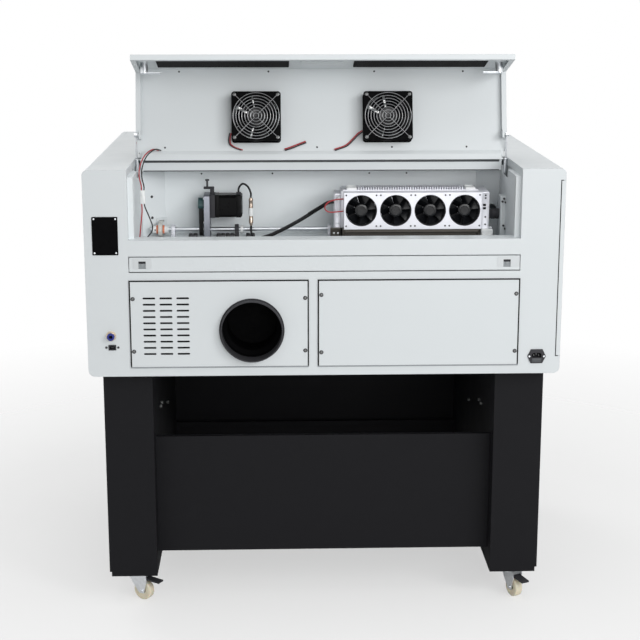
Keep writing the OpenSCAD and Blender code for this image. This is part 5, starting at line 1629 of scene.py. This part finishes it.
    def belts(self) -> None:
        """Short black motor belt and the two long white belts of the gantry."""
        top = (self.shaft[0], self.motor_z)
        self.loop("motor_belt", self.belt_x, self.shaft, top).mount(BELT_RUBBER, "drive_belts")
        front = (self.belt_end_y, self.shaft[1])
        for name, sign in SIDES:
            belt = self.loop(f"gantry_belt_{name}", sign * self.long_belt_x, self.shaft, front)
            belt.mount(WHITE_BELT, "drive_belts")

    def wipers(self) -> None:
        """Plates that close the belt slots of the folded back wall around the two runs of each belt."""
        y, turn = 301.3, math.radians(38.2)
        for name, sign in SIDES:
            x, height = sign * self.long_belt_x, self.shaft[1]
            place = spot(x, y, 0) @ Matrix.Rotation(-sign * turn, 4, "Z")
            plate = Blank.block(f"belt_wiper_{name}", (-15, 15), (-1.4, 0.3), (TRAY_Z, 943)).rounded(0.4, 1)
            plate.moved(place)
            for run in (height - 15.1, height + 15.1):
                plate.cut(Blank.block("run", (x - 6, x + 6), (y - 30, y + 30), (run - 2, run + 2)))
            plate.mount(CABINET_COAT)

    def guard(self) -> None:
        """Teal guard over the top of the motor belt."""
        ring = [(17, 0), (18.6, 0), (18.6, 14), (2.5, 14), (2.5, 12.8), (17, 12.8), (17, 0)]
        y, z = self.shaft[0], self.motor_z
        guard = Blank.turned("belt_guard", ring, spot(-293, y, z, Facing.LEFT), 48)
        guard.cut(Blank.block("below", (-320, -280), (230, 300), (940, z - 6)))
        guard.cut(Blank.rod("pulley_room", 4.8, 30, spot(-320, y, z, Facing.RIGHT), 24))
        guard.mount(TEAL_GUARD)

    def coupling(self) -> None:
        """White hubs with orange rings on both sides of the left pulley, and a white stop collar."""
        bore, ring_end = self.shaft_bore, 5.4
        profile = [(bore, 0.4), (10.2, 0.4), (10.6, 0.8), (10.6, 5.2), (9.4, 5.6), (9.4, 8.8), (8.8, 9.4),
                   (8.8, 10.4), (9.4, 11), (9.4, 14), (8.6, 14.8), (bore, 14.8), (bore, 0.4)]
        for name, x, facing in (("shaft_hub", -407, Facing.LEFT), ("shaft_hub_inner", -397, Facing.RIGHT)):
            hub = Blank.turned(name, profile, spot(x, *self.shaft, facing))
            hub.banded(ORANGE_RUBBER, lambda centre, normal, root=x: abs(centre.x - root) < ring_end)
            hub.mount(WHITE_PLASTIC, body="y_drive_shaft")
        y, z = self.shaft
        heads = [spot(-415, y - 9.2, z, Facing.REAR)]
        screws("hub_screw", (1.8, 1.0), heads, DARK_STEEL, body="y_drive_shaft")
        ring = [(bore, 0), (8.6, 0), (9.2, 0.6), (9.2, 6.4), (8.6, 7), (bore, 7), (bore, 0)]
        collar = Blank.turned("stop_collar", ring, spot(-203, y, z, Facing.RIGHT))
        collar.mount(WHITE_PLASTIC, body="y_drive_shaft")


@dataclass
class Casters:
    """Nylon wheels of the four castors."""

    trail: float = 24.0
    wheel_r: float = 25.0
    half_w: float = 10.0
    places: tuple[tuple[str, float, float, float], ...] = (
        ("rear_left", -474.0, 118.0, -29.0), ("rear_right", 474.0, 118.0, -65.0),
        ("front_left", -474.0, 798.0, 150.0), ("front_right", 474.0, 798.0, 40.0))

    def build(self) -> None:
        """Turns one wheel and fits a copy to every fork."""
        r, w = self.wheel_r, self.half_w
        rim = [(4.06, -w), (8, -w), (8.6, -w + 1.2), (16.5, -w + 1.2), (17.4, -w), (r - 4, -w),
               *arc((r - 4, -w + 4), 4, -90, 0, 6), *arc((r - 4, w - 4), 4, 0, 90, 6), (17.4, w),
               (16.5, w - 1.2), (8.6, w - 1.2), (8, w), (4.06, w), (4.06, -w)]
        wheel = Blank.turned("wheel", rim, steps=56)
        wheel.banded(DARK_STEEL, lambda centre, normal: math.hypot(centre.x, centre.y) < 8.3)
        for name, x, y, heading in self.places:
            hub = (spot(x, y, 0) @ Matrix.Rotation(math.radians(heading), 4, "Z") @ spot(self.trail, 0, r)
                   @ Matrix.Rotation(math.pi / 2, 4, "X"))
            node = f"caster_wheel_{name}"
            wheel.copy(f"wheel_{name}", hub).mount(CREAM_NYLON, node, body=node)
        wheel.drop()


@dataclass
class FrontControls:
    """Screen, keys, stop button and window seal on the deck and the main lid."""

    screen: tuple[Span, Span] = ((166.0, 334.0), (810.0, 890.0))
    screen_rim: float = 8.0
    key: Span = (362.0, 830.0)
    key_pitch: float = 22.0
    stop: Span = (470.0, 845.0)
    pane: tuple[Span, Span] = ((-395.0, 395.0), (383.0, 737.0))
    handle: Span = (765.0, 1126.0)
    rib_pitch: float = 11.2

    def build(self) -> None:
        """Fits everything that hands touch at the front."""
        (x0, x1), (y0, y1) = self.screen
        bezel = Blank.block("screen_bezel", (x0, x1), (y0, y1), (DECK_Z, DECK_Z + 3.6)).rounded(5, 3, upright)
        rim, lap = self.screen_rim, self.screen_rim - 0.6
        through = (DECK_Z - 2, DECK_Z + 8)
        bezel.cut(Blank.block("opening", (x0 + rim, x1 - rim), (y0 + rim, y1 - rim), through))
        bezel.rounded(0.7, 2, lambda middle, along: middle.z > DECK_Z + 3.5 and level(middle, along))
        bezel.mount(BLACK_PLASTIC)
        pane = Blank.block("screen_pane", (x0 + lap, x1 - lap), (y0 + lap, y1 - lap), (DECK_Z, DECK_Z + 2.8))
        pane.rounded(0.3, 1).mount(SCREEN)
        cap = Blank.block("keys", (-8.2, 8.2), (-8.2, 8.2), (DECK_Z, DECK_Z + 3.2)).rounded(3, 3, upright)
        cap.stepped(looks(Facing.UP), 1.6, -0.5)
        (x, y), pitch = self.key, self.key_pitch
        places = [spot(x + pitch * i, y + pitch * k, 0) for i in range(3) for k in range(3)]
        cap.scattered("keys", places).mount(KEY_GREY)
        self.stop_button()
        self.window_seal()
        self.grip()

    def grip(self) -> None:
        """Ribbed sleeve over the bar of the lid's handle."""
        ribs = [(6.05, 0), (7.4, 0), (8.2, 0.8)]
        for i in range(13):
            foot = self.rib_pitch * i
            ribs += [(8.2, 1.5 + foot), (7.6, 2.3 + foot), (7.6, 5.7 + foot), (8.2, 6.5 + foot)]
        ribs += [(8.2, 145.2), (7.4, 146), (6.05, 146), (6.05, 0)]
        sleeve = Blank.turned("handle_grip", ribs, spot(-73, *self.handle, Facing.RIGHT), 28)
        sleeve.mount(RUBBER, body="main_lid")

    def stop_button(self) -> None:
        """Mushroom button over a yellow ring."""
        place = spot(*self.stop, DECK_Z)
        ring = [(11.2, 0), (20.4, 0), (20.4, 6.6), (19.4, 8.3), (12.4, 8.3), (11.2, 7.4), (11.2, 0)]
        Blank.turned("stop_ring", ring, place).mount(STOP_YELLOW)
        dome = [(0, -18), (10.7, -18), (10.7, 16), (16, 17), (18.4, 17.4), (19, 19.5), (18.6, 23), (16, 26),
                (11, 27.6), (0, 28)]
        head = Blank.turned("stop_mushroom", dome, place)
        head.mount(STOP_RED, "estop_button", body="estop_button")

    def window_seal(self) -> None:
        """Black seal around the pane of the main lid."""
        (x0, x1), (y0, y1) = self.pane
        z = (DECK_Z - 0.2, DECK_Z + 1.8)
        strips = [Blank.block("window_seal", (x0 - 6, x1 + 6), y, z).rounded(0.6, 2)
                  for y in ((y0 - 6, y0 + 3), (y1 - 3, y1 + 6))]
        strips += [Blank.block("side", x, (y0 + 3, y1 - 3), z).rounded(0.6, 2)
                   for x in ((x0 - 6, x0 + 3), (x1 - 3, x1 + 6))]
        strips[0].joined(strips[1:]).mount(RUBBER, body="main_lid")


@dataclass
class Coats:
    """Finishes of the CAD nodes that stay in view."""

    def build(self) -> None:
        """Dresses every CAD node."""
        white = ("cabinet_tub", "right_side_panel", "rear_wall", "hinge_beam", "vent_panel", "service_panel",
                 "pass_door", "rear_lid", "main_lid", "control_panel")
        castors = ("rear_left", "rear_right", "front_left", "front_right")

        def pair(node: str) -> tuple[str, str]:
            """Names of a node that is there on both sides."""
            return f"{node}_left", f"{node}_right"

        groups: dict[Finish, Sequence[str]] = {
            CABINET_COAT: white,
            TRAY_COAT: ("compartment_tray",),
            STAND_COAT: ("stand_legs", "stand_panels"),
            ZINC: ("caster_plates", "fasteners", *(f"caster_fork_{c}" for c in castors), *pair("lid_lock"),
                   *pair("strut_cylinder")),
            CHROME: pair("strut_rod"),
            CREAM_NYLON: tuple(f"caster_wheel_{c}" for c in castors),
            LATCH_GREY: pair("door_latch"),
            BLACK_PLASTIC: (*pair("brake_pedal"), "exhaust_spigot", "rear_ports", "rating_plate",
                            "lid_fan_frames", "y_motor"),
            GLOSS_BLACK: (*pair("lid_fan_rotor"), *(f"laser_fan_rotor_{i}" for i in range(1, 5))),
            ALLOY: ("laser_fan_shroud", "laser_tube"),
            RAIL_ALLOY: ("guide_rails", "gantry", "laser_head", "lift_table"),
            BRIGHT_STEEL: ("y_drive_shaft", "motor_pulley", "beam_mount", "drive_brackets", "electronics"),
            BELT_RUBBER: ("drive_belts",),
            BLACK_LEAD: ("compartment_wires", "lid_wires"),
            WINDOW: ("main_lid_window",),
            STOP_RED: ("estop_button",),
        }
        for finish, names in groups.items():
            for name in names:
                materials = frame["nodes"][name].data.materials
                for index in range(max(1, len(materials))):
                    if index < len(materials):
                        materials[index] = finish.material()
                    else:
                        materials.append(finish.material())
                LOG.info("%s is dressed in %s", name, finish.name)


def main() -> None:
    """Builds the studio, the leads and every sub-assembly in order."""
    logging.basicConfig(level=logging.INFO, format="%(message)s")
    for assembly in (Studio(), Loom(), RearFace(), DoorTrim(), LidFans(), LidTrim(), LaserUnit(), DriveUnit(),
                     Casters(), FrontControls(), Coats()):
        assembly.build()
        LOG.info("%s is done", type(assembly).__name__)


if __name__ == "__main__":
    main()
